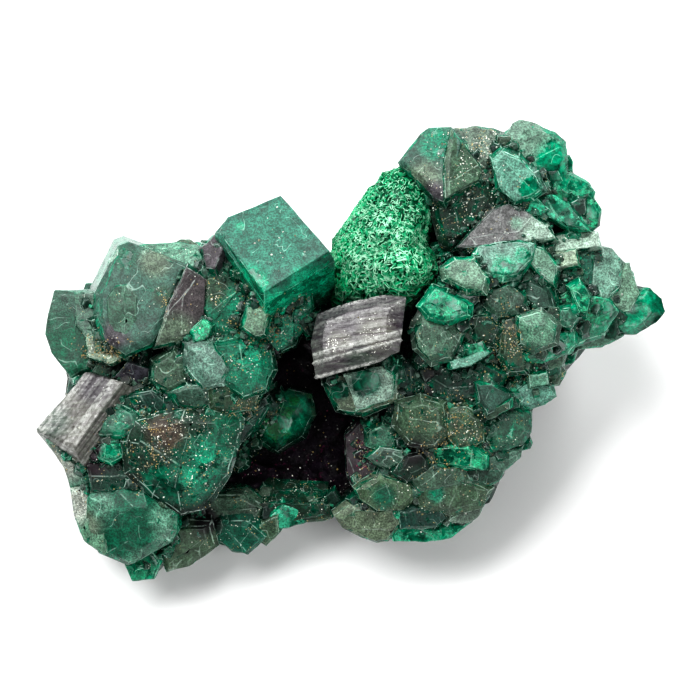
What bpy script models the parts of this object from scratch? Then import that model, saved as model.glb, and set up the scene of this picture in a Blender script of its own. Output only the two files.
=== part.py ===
"""A dioptase specimen: two clusters of blocky green crystals on a dark rock matrix, with a ball of
velvety malachite, one striated grey prism and one crystal deep in the hollow between the clusters.

Every outline is in millimetres on a 70 mm square card held in front of the specimen: x runs across
from the card's left side and y down from its top. Depth is in millimetres from the card towards the
viewer. The specimen rests on the flat broken face of its matrix, and the card rises to the back."""

import math
import random

import bmesh
import bpy
from mathutils import Matrix, Vector, noise

MM = 0.001
CARD_MIDDLE = 35.0
CARD_RISE = math.radians(20)
CARD_HEIGHT = 12.5
NODE_GAP = 0.3
CRUST_FOOT = 1.2

# The lumps of the rock, of the crusts that the crystals grow from, and of the malachite, one row each:
# middle on the card, depth, and half sizes across, up and in depth.
ROCK_LUMPS = (
    ((18.5, 40.0), -8.5, (9.5, 11.5, 9.5)),
    ((25.5, 31.5), -9.0, (6.0, 6.5, 10.0)),
    ((46.5, 31.5), -9.0, (11.5, 11.5, 11.0)),
    ((42.5, 43.0), -7.5, (7.0, 7.0, 8.0)),
    ((51.5, 20.5), -12.5, (5.5, 6.0, 11.5)),
    ((32.0, 41.5), -12.5, (10.0, 9.5, 8.0)),
    ((24.5, 48.5), -7.5, (7.5, 3.6, 4.8)),
    ((33.6, 47.8), -6.8, (3.4, 3.6, 3.6)),
)
LEFT_CRUST_LUMPS = (
    ((17.0, 40.0), -6.5, (10.6, 13.0, 9.3)),
    ((23.5, 31.0), -6.0, (6.5, 7.6, 8.8)),
    ((13.0, 33.6), -4.0, (6.3, 6.6, 6.0)),
    ((13.0, 51.0), -3.0, (4.5, 4.6, 3.6)),
    ((20.5, 51.5), -3.6, (7.5, 2.6, 3.0)),
)
RIGHT_CRUST_LUMPS = (
    ((48.5, 31.0), -6.0, (10.5, 10.5, 9.8)),
    ((44.5, 43.5), -5.5, (7.2, 8.0, 8.6)),
    ((51.5, 19.6), -5.0, (6.6, 6.2, 7.0)),
    ((45.0, 19.5), -4.5, (4.5, 5.6, 6.5)),
    ((59.0, 30.0), -2.0, (4.6, 4.2, 4.2)),
    ((39.5, 40.0), -3.0, (4.6, 5.6, 5.6)),
)
MALACHITE_LUMPS = (
    ((40.2, 21.2), -1.0, (3.7, 4.7, 5.2)),
    ((38.6, 24.0), -0.4, (4.5, 4.8, 6.0)),
    ((36.8, 27.0), -0.2, (4.3, 4.6, 5.6)),
    ((39.6, 27.0), 0.2, (4.4, 4.2, 5.6)),
)

# The blocky crystals that show, one row each: name, outline on the card, depth at the middle of the
# outline, rise of the face for each millimetre to the right and up, where the back of the crystal lies
# from its front (right, up, depth), and the width of the sloping edge round the face.
LEFT_BLOCKS = (
    ("great_rhomb", ((28.1, 19.6), (33.0, 25.2), (26.5, 29.3), (22.0, 23.3), (22.8, 21.8)),
     7.0, (0.02, -0.49), (0.2, -5.2, -10.6), 0.15),
    ("rhomb_flank", ((20.2, 24.9), (21.9, 23.0), (22.6, 24.5), (21.6, 27.0), (20.6, 26.8)),
     5.0, (0.6, -0.3), (1.0, -2.0, -7.0), 0.1),
    ("plate_left", ((11.9, 24.6), (12.9, 24.2), (18.7, 26.8), (17.1, 30.8), (15.4, 34.3), (12.7, 35.5),
                    (10.6, 34.0), (10.0, 31.5), (10.1, 29.5)),
     5.0, (0.18, -0.12), (-0.7, 0.7, -8.0), 0.3),
    ("plate_right", ((18.7, 26.8), (20.8, 28.0), (20.7, 31.7), (18.9, 33.9), (15.6, 34.6), (16.8, 30.8)),
     5.3, (-0.35, 0.05), (0.5, 0.5, -8.0), 0.2),
    ("plate_hillock", ((10.7, 30.0), (11.6, 28.4), (13.0, 28.3), (14.2, 29.6), (14.1, 32.6), (13.0, 34.2),
                       (11.4, 34.0), (10.7, 32.3)),
     5.15, (0.18, -0.12), (0.3, 0.0, -2.5), 0.25),
    ("back_slab", ((13.5, 24.5), (17.6, 24.2), (19.9, 24.5), (20.6, 26.0), (19.5, 26.9), (16.5, 25.8)),
     3.4, (0.0, -0.8), (0.0, -2.0, -6.0), 0.1),
    ("top_knob", ((17.2, 24.4), (18.1, 23.9), (19.1, 23.9), (19.9, 24.6), (19.0, 25.4), (17.8, 25.4)),
     2.5, (0.0, -0.4), (0.0, -2.0, -6.0), 0.1),
    ("left_block", ((5.4, 29.0), (9.9, 29.2), (9.9, 33.5), (8.6, 36.8), (7.1, 37.7), (5.2, 35.4),
                    (4.5, 33.4), (4.7, 31.9)),
     1.6, (0.1, -0.25), (2.5, 0.0, -6.0), 0.2),
    ("block_shoulder", ((7.4, 29.3), (10.4, 29.3), (10.4, 33.0), (9.0, 34.2), (7.6, 32.5)),
     2.2, (0.2, -0.2), (1.0, 0.0, -6.0), 0.1),
    ("plate_side", ((9.7, 29.1), (11.0, 26.0), (11.8, 24.8), (12.2, 27.0), (11.2, 30.0)),
     3.2, (1.0, 0.0), (2.0, -1.0, -6.0), 0.1),
    ("tan_wedge", ((8.8, 33.9), (9.7, 33.3), (11.2, 34.3), (12.6, 35.6), (10.9, 36.4), (8.9, 35.7)),
     3.8, (0.0, -0.4), (1.0, 0.5, -6.0), 0.1),
    ("gap_facet", ((11.5, 37.7), (12.8, 36.2), (15.0, 36.9), (15.2, 38.2), (13.3, 38.4)),
     3.2, (0.0, 0.5), (1.0, 0.0, -5.0), 0.1),
    ("shelf_pale", ((15.4, 36.2), (17.4, 35.0), (18.5, 36.2), (18.9, 38.3), (17.0, 39.3), (15.2, 38.2)),
     5.0, (0.15, 0.1), (0.5, 0.5, -7.0), 0.3),
    ("shelf_round", ((18.5, 34.4), (19.7, 33.8), (21.3, 34.2), (22.7, 35.7), (23.1, 36.9), (22.3, 38.3),
                     (20.4, 38.7), (18.9, 36.9)),
     6.2, (0.1, -0.2), (0.0, 1.0, -7.0), 0.45),
    ("shelf_dark", ((21.5, 34.2), (24.5, 33.7), (27.0, 34.6), (27.4, 37.0), (26.6, 38.9), (24.4, 39.6),
                    (22.6, 38.4), (21.6, 36.0)),
     5.6, (-0.2, -0.15), (-0.5, 1.0, -8.0), 0.4),
    ("shelf_low", ((17.0, 39.3), (18.8, 38.5), (20.6, 38.6), (21.4, 40.0), (20.2, 41.0), (17.9, 40.6)),
     5.2, (0.0, 0.3), (0.0, 1.0, -7.0), 0.25),
    ("shelf_gold", ((20.8, 38.9), (23.0, 38.4), (26.0, 39.3), (25.4, 40.9), (22.6, 41.4), (21.0, 40.9)),
     5.0, (-0.1, 0.4), (0.0, 1.0, -7.0), 0.25),
    ("pale_cube", ((24.9, 30.7), (26.2, 30.7), (26.8, 31.4), (26.5, 33.4), (25.5, 33.6), (24.4, 32.7)),
     6.9, (0.0, -0.2), (0.0, 0.5, -5.0), 0.15),
    ("teal_prism", ((19.0, 33.0), (20.3, 31.9), (21.4, 32.6), (20.8, 33.9), (19.4, 34.2)),
     5.4, (0.1, -0.2), (0.0, 0.0, -6.0), 0.1),
    ("rhomb_collar", ((20.7, 27.4), (22.6, 25.9), (24.6, 28.8), (25.6, 31.0), (23.8, 33.4), (21.6, 33.6),
                      (20.4, 31.4)),
     4.6, (0.1, -0.1), (0.0, 0.0, -8.0), 0.3),
    ("rhomb_foot", ((26.4, 30.6), (31.2, 28.8), (31.4, 31.0), (29.6, 34.4), (27.6, 35.6), (26.2, 34.0)),
     4.0, (-0.3, 0.3), (-1.0, 0.5, -7.0), 0.2),
    ("striated_block", ((3.6, 43.0), (7.0, 39.2), (8.6, 37.2), (12.4, 38.2), (10.4, 40.9), (7.7, 44.9)),
     4.0, (0.35, -0.35), (2.2, -3.0, -5.5), 0.1),
    ("block_back", ((6.7, 39.4), (7.0, 37.6), (8.3, 36.8), (9.2, 37.8), (8.0, 39.8)),
     1.8, (0.3, -0.3), (1.5, -1.0, -4.0), 0.1),
    ("block_under", ((4.4, 43.6), (7.7, 44.9), (9.2, 47.3), (8.8, 48.3), (7.0, 48.8), (6.3, 46.6)),
     2.0, (0.5, 0.6), (2.0, 0.5, -4.0), 0.1),
    ("green_step", ((9.9, 43.4), (10.3, 41.3), (11.8, 40.2), (13.7, 41.2), (13.9, 42.5), (12.3, 43.6)),
     4.5, (0.1, -0.2), (1.0, 0.0, -6.0), 0.25),
    ("clear_chip", ((9.6, 44.9), (10.5, 44.0), (12.2, 44.3), (12.6, 45.5), (11.1, 46.2), (9.9, 45.8)),
     4.0, (0.0, 0.0), (1.0, 0.0, -5.0), 0.2),
    ("step_upper", ((12.4, 39.6), (15.3, 39.0), (17.4, 40.6), (16.4, 42.2), (13.8, 42.2)),
     3.9, (0.0, 0.2), (0.5, 0.5, -6.0), 0.2),
    ("great_mass", ((13.4, 42.0), (18.6, 41.2), (23.3, 41.2), (24.2, 42.1), (23.6, 44.5), (22.7, 47.4),
                    (20.6, 50.4), (18.2, 51.0), (15.6, 49.4), (12.9, 47.2), (12.6, 44.2)),
     5.0, (-0.08, 0.12), (-0.5, 1.0, -8.0), 0.9),
    ("hollow_lip", ((23.2, 41.2), (26.0, 39.8), (27.2, 40.2), (25.8, 42.6), (24.2, 44.2), (23.2, 43.4)),
     3.0, (-0.3, 0.2), (-1.5, 0.5, -6.0), 0.2),
    ("hex_window", ((9.2, 49.9), (11.0, 48.6), (13.8, 48.8), (17.2, 51.0), (17.5, 53.0), (16.8, 54.0),
                    (12.8, 56.5), (9.9, 55.3), (8.6, 52.8)),
     3.6, (0.05, 0.15), (0.6, 1.4, -5.0), 1.1),
    ("window_rim", ((7.0, 48.6), (9.6, 48.0), (10.8, 49.4), (10.8, 55.2), (10.4, 55.5), (8.4, 54.1),
                    (7.4, 51.8)),
     1.8, (0.3, 0.1), (1.5, 1.0, -4.0), 0.2),
    ("mass_foot", ((8.6, 46.2), (12.2, 46.0), (14.8, 48.4), (12.0, 49.6), (9.2, 49.0)),
     2.9, (0.0, 0.1), (1.0, 0.5, -5.0), 0.2),
    ("foot_green", ((12.6, 56.7), (15.0, 55.0), (16.0, 56.2), (15.5, 58.0), (13.2, 58.1)),
     0.6, (0.0, 0.3), (0.8, 1.8, -3.0), 0.1),
    ("foot_grey", ((15.6, 54.6), (17.8, 52.7), (20.9, 52.6), (21.5, 54.8), (18.9, 56.7), (16.6, 57.3)),
     0.6, (0.0, 0.3), (0.0, 2.0, -3.5), 0.3),
    ("foot_teal", ((20.9, 53.6), (22.2, 52.0), (25.0, 52.1), (26.6, 53.8), (24.8, 55.5), (23.2, 55.2)),
     -0.6, (0.0, 0.3), (0.0, 2.0, -3.0), 0.25),
    ("foot_edge", ((25.4, 53.9), (26.2, 52.3), (27.8, 51.6), (27.9, 53.4), (26.6, 54.7)),
     -0.9, (0.0, 0.3), (0.0, 1.5, -3.0), 0.1),
    ("rim_green", ((27.0, 51.8), (28.2, 50.6), (30.0, 50.9), (30.6, 52.3), (29.0, 52.8), (27.6, 52.9)),
     -0.8, (0.0, 0.2), (0.0, 1.5, -3.0), 0.1),
    ("rim_gold", ((29.8, 50.7), (31.4, 49.9), (32.9, 50.8), (33.3, 52.0), (31.6, 52.2), (30.4, 52.3)),
     -1.0, (0.0, 0.2), (-0.5, 1.5, -3.0), 0.1),
    ("rim_sparkly", ((19.4, 51.8), (21.2, 49.6), (24.4, 49.4), (26.8, 50.8), (26.0, 52.6), (21.6, 52.9)),
     -0.9, (0.0, 0.3), (0.0, 1.0, -3.5), 0.3),
    ("rim_bar", ((14.5, 52.5), (20.0, 50.8), (27.0, 50.2), (32.4, 50.4), (32.8, 51.4), (27.0, 52.9),
                 (20.5, 54.6), (15.5, 55.6)),
     -1.9, (0.0, 0.3), (0.0, 2.0, -2.5), 0.2),
)

RIGHT_BLOCKS = (
    ("top_block", ((39.7, 16.3), (42.0, 13.4), (42.8, 12.8), (45.1, 12.7), (46.2, 14.4), (45.4, 17.6),
                   (44.3, 20.3), (43.2, 19.7), (41.6, 17.9)),
     3.5, (0.3, -0.2), (1.0, -1.0, -7.0), 0.2),
    ("top_facet", ((45.0, 12.9), (46.4, 14.3), (48.3, 17.0), (47.9, 18.2), (45.7, 19.2), (44.4, 20.0),
                   (44.4, 16.5)),
     4.1, (-0.2, -0.2), (0.0, -1.0, -7.0), 0.2),
    ("top_crumb", ((45.3, 12.9), (47.6, 12.6), (49.3, 12.8), (50.8, 13.5), (50.2, 15.4), (48.4, 16.8),
                   (46.4, 15.2)),
     2.6, (0.0, -0.35), (0.0, -1.5, -7.0), 0.3),
    ("white_slab", ((49.1, 16.0), (50.1, 15.1), (51.8, 15.8), (53.3, 17.3), (54.2, 19.0), (53.0, 19.8),
                    (51.4, 20.2), (49.8, 18.8)),
     4.7, (-0.1, -0.3), (0.5, 0.5, -6.0), 0.15),
    ("crown", ((50.5, 13.6), (51.2, 12.4), (52.0, 12.0), (53.9, 12.5), (55.5, 13.2), (56.6, 14.2),
               (56.8, 16.0), (56.1, 18.0), (54.0, 18.2), (51.4, 16.2)),
     2.6, (-0.12, -0.25), (-1.0, -2.0, -7.0), 0.5),
    ("crown_side", ((56.2, 15.6), (57.0, 15.5), (57.4, 16.2), (57.3, 17.3), (56.3, 17.6)),
     0.9, (-0.3, 0.0), (-1.5, -1.0, -4.0), 0.1),
    ("crown_low", ((54.6, 17.4), (57.2, 17.3), (59.0, 18.2), (59.6, 19.2), (59.3, 20.0), (57.4, 20.8),
                   (55.0, 19.8)),
     2.0, (-0.25, -0.2), (-1.5, -1.0, -6.0), 0.3),
    ("crown_tip", ((57.4, 20.0), (59.3, 19.6), (60.2, 21.0), (60.0, 22.6), (58.8, 23.2), (57.2, 22.2)),
     1.6, (-0.25, 0.0), (-1.5, -0.5, -5.5), 0.2),
    ("mint_wedge", ((53.4, 19.9), (55.0, 19.3), (56.8, 20.4), (58.7, 23.0), (56.6, 22.8), (54.5, 21.6)),
     3.6, (-0.1, -0.5), (0.0, 0.0, -6.0), 0.1),
    ("teal_bit", ((52.0, 20.4), (53.5, 19.8), (54.8, 21.0), (54.0, 22.2), (52.4, 21.6)),
     3.9, (0.0, 0.0), (0.0, 0.0, -6.0), 0.1),
    ("grey_flat", ((45.6, 24.8), (49.3, 20.9), (50.8, 20.5), (52.6, 21.3), (54.5, 22.6), (55.4, 23.9),
                   (51.8, 24.3), (47.9, 24.8)),
     4.7, (0.05, -0.3), (0.0, -1.0, -7.0), 0.1),
    ("ledge", ((53.2, 23.9), (57.0, 23.3), (59.8, 23.2), (59.9, 24.6), (56.5, 25.1), (53.5, 25.0)),
     3.4, (-0.1, -0.7), (-1.0, -1.0, -6.0), 0.1),
    ("druse_hollow", ((43.4, 19.6), (45.8, 18.9), (48.3, 18.0), (49.7, 19.6), (48.6, 21.6), (45.6, 24.8),
                      (44.2, 24.4), (43.5, 21.6)),
     3.3, (0.05, -0.1), (0.0, 0.0, -7.0), 0.4),
    ("white_face", ((47.4, 25.6), (47.9, 24.6), (51.8, 24.0), (53.3, 24.4), (53.0, 25.9), (51.6, 27.4),
                    (50.2, 27.7), (48.2, 27.2)),
     6.2, (0.0, -0.35), (0.0, -1.5, -7.0), 0.2),
    ("pale_left", ((44.1, 26.8), (45.5, 26.0), (47.2, 26.0), (48.5, 27.7), (48.2, 29.1), (46.5, 28.9),
                   (44.6, 27.9)),
     6.8, (0.1, -0.2), (0.5, -1.0, -7.0), 0.2),
    ("long_prism", ((53.2, 24.6), (54.3, 25.0), (55.6, 26.6), (55.3, 28.6), (54.0, 27.6), (52.9, 26.4)),
     5.6, (-0.3, -0.2), (0.0, 0.0, -7.0), 0.15),
    ("sparkly_cube", ((55.3, 25.2), (57.4, 25.0), (57.7, 26.6), (55.8, 26.9)),
     4.4, (0.0, 0.0), (0.0, 0.0, -6.0), 0.15),
    ("deep_green", ((55.4, 26.4), (57.6, 25.6), (59.2, 25.2), (59.6, 28.4), (58.8, 31.2), (56.8, 31.8),
                    (55.2, 29.4)),
     3.0, (0.0, 0.0), (-1.0, 0.0, -7.0), 0.3),
    ("arm_upper", ((59.0, 24.9), (59.9, 24.6), (61.3, 24.8), (62.3, 26.2), (62.0, 28.6), (60.4, 30.2),
                   (58.8, 29.0)),
     2.5, (-0.15, -0.2), (-3.0, -1.0, -5.0), 0.35),
    ("arm_outer", ((61.2, 26.3), (63.0, 26.3), (63.3, 27.8), (64.0, 29.2), (63.0, 31.0), (61.0, 31.2),
                   (60.4, 29.0)),
     1.7, (-0.2, -0.1), (-3.5, -1.0, -4.5), 0.3),
    ("arm_tip", ((60.6, 32.3), (61.4, 31.0), (63.9, 29.1), (65.0, 28.8), (66.2, 29.9), (66.5, 31.1),
                 (65.6, 32.3), (63.6, 33.4), (61.0, 33.6)),
     1.1, (-0.15, 0.1), (-4.0, 0.5, -4.0), 0.6),
    ("arm_under", ((57.6, 33.6), (61.4, 33.2), (62.4, 33.6), (60.2, 34.8), (58.0, 34.9)),
     1.2, (0.0, 0.3), (-2.0, 1.0, -4.0), 0.2),
    ("arm_middle", ((58.6, 29.6), (60.8, 29.8), (61.8, 31.2), (60.4, 33.4), (57.6, 34.4), (57.0, 33.0),
                    (57.6, 31.2)),
     3.2, (-0.2, 0.1), (-2.0, 0.0, -6.0), 0.3),
    ("leaf_blade", ((56.9, 28.8), (57.9, 28.2), (58.9, 29.6), (58.6, 31.4), (57.8, 31.2)),
     5.0, (-0.1, -0.2), (-0.5, 0.0, -4.0), 0.1),
    ("ring_knob", ((55.8, 30.9), (57.0, 30.8), (57.7, 31.8), (56.9, 32.8), (55.8, 32.4)),
     5.3, (0.0, 0.0), (0.0, 0.0, -5.0), 0.25),
    ("druse_block", ((51.8, 31.8), (54.0, 31.2), (55.6, 32.6), (55.3, 34.2), (53.4, 35.0), (52.0, 34.3)),
     6.6, (0.0, 0.05), (0.0, 0.0, -7.0), 0.45),
    ("emerald_slab", ((52.2, 35.4), (55.5, 33.8), (57.2, 32.9), (57.5, 34.5), (56.7, 35.4), (54.2, 36.3),
                      (52.6, 36.2)),
     4.6, (-0.1, 0.2), (-1.0, 1.0, -6.0), 0.25),
    ("slab_rim", ((52.4, 36.5), (56.6, 35.4), (56.0, 36.6), (53.6, 37.4)),
     3.6, (0.0, 0.2), (-1.0, 1.0, -5.0), 0.1),
    ("hex_grey", ((41.3, 32.8), (42.2, 31.0), (45.4, 31.7), (46.1, 33.4), (44.9, 35.7), (43.1, 36.2),
                  (41.6, 34.8)),
     7.2, (0.0, -0.05), (0.0, 0.0, -8.0), 0.5),
    ("teal_tip", ((42.0, 30.7), (43.3, 28.8), (44.6, 29.3), (46.7, 30.5), (46.6, 31.5), (44.6, 32.2),
                  (42.8, 31.8)),
     7.6, (0.0, -0.35), (0.5, 0.0, -8.0), 0.2),
    ("blade", ((44.9, 36.2), (48.7, 34.9), (48.9, 35.4), (47.0, 36.5), (45.1, 37.0)),
     6.3, (0.0, -0.4), (0.0, 1.0, -5.0), 0.08),
    ("teal_under", ((45.3, 35.6), (46.4, 34.2), (48.2, 33.9), (48.6, 35.0), (46.4, 36.0)),
     5.5, (0.0, 0.0), (0.0, 0.0, -6.0), 0.1),
    ("heart", ((44.6, 28.6), (48.6, 27.4), (52.8, 26.6), (55.4, 29.0), (56.4, 32.4), (52.1, 34.7),
               (48.0, 34.5), (45.2, 32.0)),
     4.6, (0.0, 0.0), (0.0, 0.0, -9.0), 0.6),
    ("heart_upper", ((48.5, 29.0), (50.8, 28.4), (52.4, 29.6), (51.8, 31.4), (49.6, 31.8), (48.2, 30.6)),
     5.8, (0.2, -0.1), (0.0, 0.0, -6.0), 0.3),
    ("heart_lower", ((46.6, 31.6), (48.8, 31.4), (50.2, 33.0), (49.5, 34.9), (47.2, 34.3)),
     5.8, (-0.1, 0.1), (0.0, 0.0, -6.0), 0.3),
    ("heart_right", ((52.6, 27.6), (54.8, 28.8), (55.4, 30.8), (53.8, 31.2), (52.4, 29.8)),
     5.4, (-0.1, 0.0), (0.0, 0.0, -6.0), 0.25),
    ("sparkle_column", ((50.2, 32.2), (51.6, 31.6), (52.2, 34.0), (52.4, 37.0), (50.8, 37.2), (49.9, 35.4)),
     5.4, (0.0, 0.0), (0.0, 0.0, -7.0), 0.3),
    ("dark_druse", ((41.0, 36.3), (45.0, 36.6), (49.0, 36.4), (50.6, 37.4), (48.6, 40.2), (44.6, 40.8),
                    (41.2, 39.8)),
     4.5, (0.0, 0.0), (0.0, 0.0, -8.0), 0.4),
    ("blue_wedge", ((47.6, 38.4), (49.1, 38.3), (50.9, 39.4), (50.7, 40.4), (48.6, 41.4), (47.9, 40.2)),
     6.0, (-0.1, -0.1), (0.0, 0.0, -7.0), 0.2),
    ("wedge_facet", ((48.2, 41.3), (50.8, 40.1), (50.9, 40.9), (48.6, 42.0)),
     5.8, (0.0, 0.5), (0.0, 0.5, -6.0), 0.08),
    ("side_slab", ((50.9, 39.3), (52.6, 38.2), (55.3, 38.5), (55.6, 39.7), (54.5, 40.5), (53.0, 40.9),
                   (51.0, 40.6)),
     3.7, (-0.15, 0.1), (-2.0, 1.0, -5.0), 0.25),
    ("side_cube", ((52.8, 37.5), (54.6, 37.3), (54.7, 38.4), (53.0, 38.8)),
     4.5, (0.0, 0.0), (-1.0, 0.5, -5.0), 0.1),
    ("side_knob", ((54.4, 36.7), (56.2, 36.4), (56.6, 37.3), (56.0, 38.6), (54.6, 38.7)),
     2.7, (-0.2, 0.0), (-2.0, 0.5, -4.0), 0.2),
    ("round_side", ((50.6, 40.8), (53.0, 41.0), (53.2, 41.8), (53.1, 43.3), (52.2, 44.6), (49.3, 45.2),
                    (48.6, 43.9), (49.0, 42.2)),
     4.2, (-0.2, 0.15), (-2.0, 1.0, -6.0), 0.45),
    ("bead", ((52.2, 44.2), (53.0, 43.5), (53.3, 44.2), (53.0, 44.9), (52.3, 45.0)),
     2.0, (-0.2, 0.2), (-2.0, 0.5, -3.0), 0.2),
    ("round_low", ((48.6, 45.6), (52.2, 44.7), (52.1, 45.7), (50.3, 47.2), (48.8, 47.2)),
     3.4, (-0.1, 0.3), (-1.0, 1.5, -5.0), 0.2),
    ("green_band", ((43.2, 44.7), (47.0, 44.5), (48.7, 45.5), (48.5, 47.0), (46.3, 46.8), (43.5, 46.3)),
     4.3, (0.0, 0.2), (0.0, 1.5, -6.0), 0.2),
    ("band_low", ((46.8, 47.0), (50.4, 46.9), (50.0, 48.1), (48.6, 48.8), (46.4, 48.9)),
     2.9, (0.0, 0.3), (0.0, 1.5, -5.0), 0.2),
    ("band_middle", ((43.0, 46.4), (46.6, 46.8), (47.2, 48.4), (44.4, 49.0), (42.0, 49.2), (41.2, 48.0)),
     3.6, (0.0, 0.2), (0.0, 1.5, -6.0), 0.25),
    ("grey_barrel", ((39.8, 40.4), (42.0, 39.8), (44.3, 40.4), (44.6, 43.0), (43.4, 44.5), (41.0, 44.2),
                     (39.6, 42.5)),
     5.6, (0.0, 0.1), (0.0, 0.5, -7.0), 0.5),
    ("gold_druse", ((44.2, 40.8), (46.6, 40.6), (48.2, 41.8), (48.4, 44.2), (45.8, 44.8), (44.4, 43.4)),
     5.0, (0.0, 0.1), (0.0, 0.5, -7.0), 0.3),
    ("low_left", ((36.6, 45.8), (38.0, 44.7), (40.1, 45.0), (40.4, 46.1), (38.4, 46.9)),
     3.6, (0.1, 0.1), (1.0, 1.0, -5.0), 0.15),
    ("low_dome", ((39.2, 47.3), (40.4, 45.4), (42.3, 45.0), (43.2, 46.0), (43.0, 47.2), (40.7, 48.1)),
     4.1, (0.0, 0.1), (0.5, 1.0, -6.0), 0.4),
    ("blue_step", ((36.6, 43.2), (38.2, 42.4), (40.2, 43.0), (40.2, 44.8), (38.0, 45.1), (36.6, 44.6)),
     3.2, (0.1, 0.0), (1.0, 1.0, -5.0), 0.2),
    ("low_band", ((35.6, 48.9), (38.0, 47.4), (40.9, 48.2), (41.8, 49.5), (40.2, 51.0), (37.7, 51.0),
                  (36.0, 49.9)),
     2.9, (0.0, 0.2), (0.5, 1.5, -5.0), 0.3),
    ("foot_keel", ((33.3, 51.5), (35.0, 50.4), (39.4, 50.6), (40.3, 52.2), (38.9, 54.1), (37.6, 54.3),
                   (36.5, 54.0), (34.2, 52.8)),
     1.3, (0.1, 0.2), (1.5, 2.0, -4.0), 0.3),
    ("foot_dark", ((39.8, 51.2), (41.5, 50.6), (44.0, 50.6), (44.8, 51.8), (43.4, 52.9), (40.0, 52.9)),
     2.1, (0.0, 0.2), (0.0, 2.0, -5.0), 0.2),
    ("foot_brown", ((41.6, 49.0), (44.3, 48.3), (47.0, 48.2), (48.9, 49.0), (48.3, 50.8), (45.0, 51.6),
                    (42.0, 50.8)),
     3.0, (0.0, 0.15), (0.0, 1.5, -6.0), 0.35),
    ("foot_side", ((46.2, 50.2), (48.5, 49.9), (48.1, 51.5), (46.9, 52.4), (44.8, 52.2)),
     1.9, (-0.1, 0.2), (-1.0, 1.5, -4.0), 0.15),
    ("foot_rim", ((39.0, 52.9), (44.2, 52.7), (47.2, 52.2), (45.2, 53.8), (42.6, 54.2), (39.4, 54.2)),
     0.9, (0.0, 0.35), (0.0, 2.2, -3.0), 0.1),
    ("foot_bead", ((42.7, 53.1), (44.2, 52.9), (44.2, 53.9), (43.4, 54.1)),
     1.0, (0.0, 0.3), (0.0, 1.0, -2.0), 0.1),
    ("box_crystal", ((32.4, 38.0), (35.8, 36.8), (39.8, 35.8), (39.6, 40.0), (36.2, 41.3), (33.8, 40.9)),
     4.6, (0.05, 0.05), (0.5, 0.0, -6.0), 0.2),
    ("box_frame", ((34.4, 37.4), (39.4, 36.3), (39.2, 39.8), (35.6, 41.0)),
     5.2, (0.05, 0.05), (0.3, 0.0, -5.0), 0.15),
    ("box_shoulder", ((39.2, 36.4), (41.4, 36.0), (41.6, 39.8), (40.0, 41.6), (38.8, 41.2)),
     3.9, (0.0, 0.0), (0.5, 0.0, -6.0), 0.2),
    ("hollow_margin", ((34.4, 43.6), (36.8, 41.0), (38.0, 44.0), (37.2, 48.6), (35.6, 49.6), (34.6, 47.6)),
     1.4, (0.4, 0.0), (1.5, 0.5, -4.0), 0.2),
)

HOLLOW_BLOCK = ("hollow_block", ((26.2, 40.5), (28.8, 39.4), (30.7, 39.8), (31.2, 41.6), (30.1, 43.7),
                                 (27.7, 45.2), (26.1, 44.0), (25.4, 42.1)),
                -2.6, (-0.15, 0.2), (0.4, 0.8, -5.0), 0.8)

STRIATED_PRISM = ("striated_prism", ((31.7, 31.5), (35.0, 30.4), (38.6, 29.6), (40.6, 29.8), (40.3, 32.2),
                                     (39.9, 35.2), (36.7, 36.5), (31.6, 37.9), (31.1, 34.4)),
                  8.2, (0.1, -0.12), (0.0, 0.3, -6.5), 0.7)

# Small crystals over the sides and the back, where none is drawn on the card. Their places lean away
# from the viewer by this much of a unit direction, and stay above the floor height.
LEFT_SIDE_CRYSTALS = 23
RIGHT_SIDE_CRYSTALS = 26
SIDE_WIDTH = (2.6, 4.8)
SIDE_LENGTH = (4.0, 6.0)
SIDE_LEAN = (0.45, 0.9)
SIDE_END_SLOPE = 1.1
SIDE_END_DROP = 0.12
SIDE_STRAY = 0.4
SIDE_FLOOR = 3.5

# How the front face of a drawn crystal differs from its outline.
STRAY_TILT = 0.14
EDGE_SPREAD = 1.9
EDGE_STEEPNESS = 0.75
SMALLEST_FACE = 0.5
ASIDE_SHARE = 0.85
FIRST_INSET = 0.01

# How finely each kind of lump is faceted, and how uneven it is.
ROCK = (2, 0.2)
CRUST = (2, 0.16)
BALL = (2, 0.05)

CUTTER_GROWTH = 1.14
GROUND_BLOCK = 200.0

STAND = (Matrix.Translation((0, 0, CARD_HEIGHT * MM)) @ Matrix.Rotation(CARD_RISE, 4, "X")
         @ Matrix.Scale(MM, 4))


def start_scene():
    """Remove what the scene holds and make the collections of parts and of cutters."""
    for thing in list(bpy.data.objects):
        bpy.data.objects.remove(thing, do_unlink=True)
    made = []
    for name in ("dioptase_specimen", "building_shapes"):
        made.append(bpy.data.collections.new(name))
        bpy.context.scene.collection.children.link(made[-1])
    return made


def make_material(name, colour, roughness):
    """A plain finish for one kind of stone."""
    material = bpy.data.materials.new(name)
    material.use_nodes = True
    surface = material.node_tree.nodes["Principled BSDF"]
    surface.inputs["Base Color"].default_value = (*colour, 1.0)
    surface.inputs["Roughness"].default_value = roughness
    return material


def card_point(x, y, depth):
    """The millimetre coordinates of a point given on the card."""
    return Vector((x - CARD_MIDDLE, CARD_MIDDLE - y, depth))


def make_object(name, shape, collection, place=STAND):
    """Turn a closed shape, by default one in card millimetres, into an object where it rests."""
    bmesh.ops.recalc_face_normals(shape, faces=shape.faces)
    bmesh.ops.transform(shape, matrix=place, verts=shape.verts)
    mesh = bpy.data.meshes.new(name)
    shape.to_mesh(mesh)
    shape.free()
    thing = bpy.data.objects.new(name, mesh)
    collection.objects.link(thing)
    return thing


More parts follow.
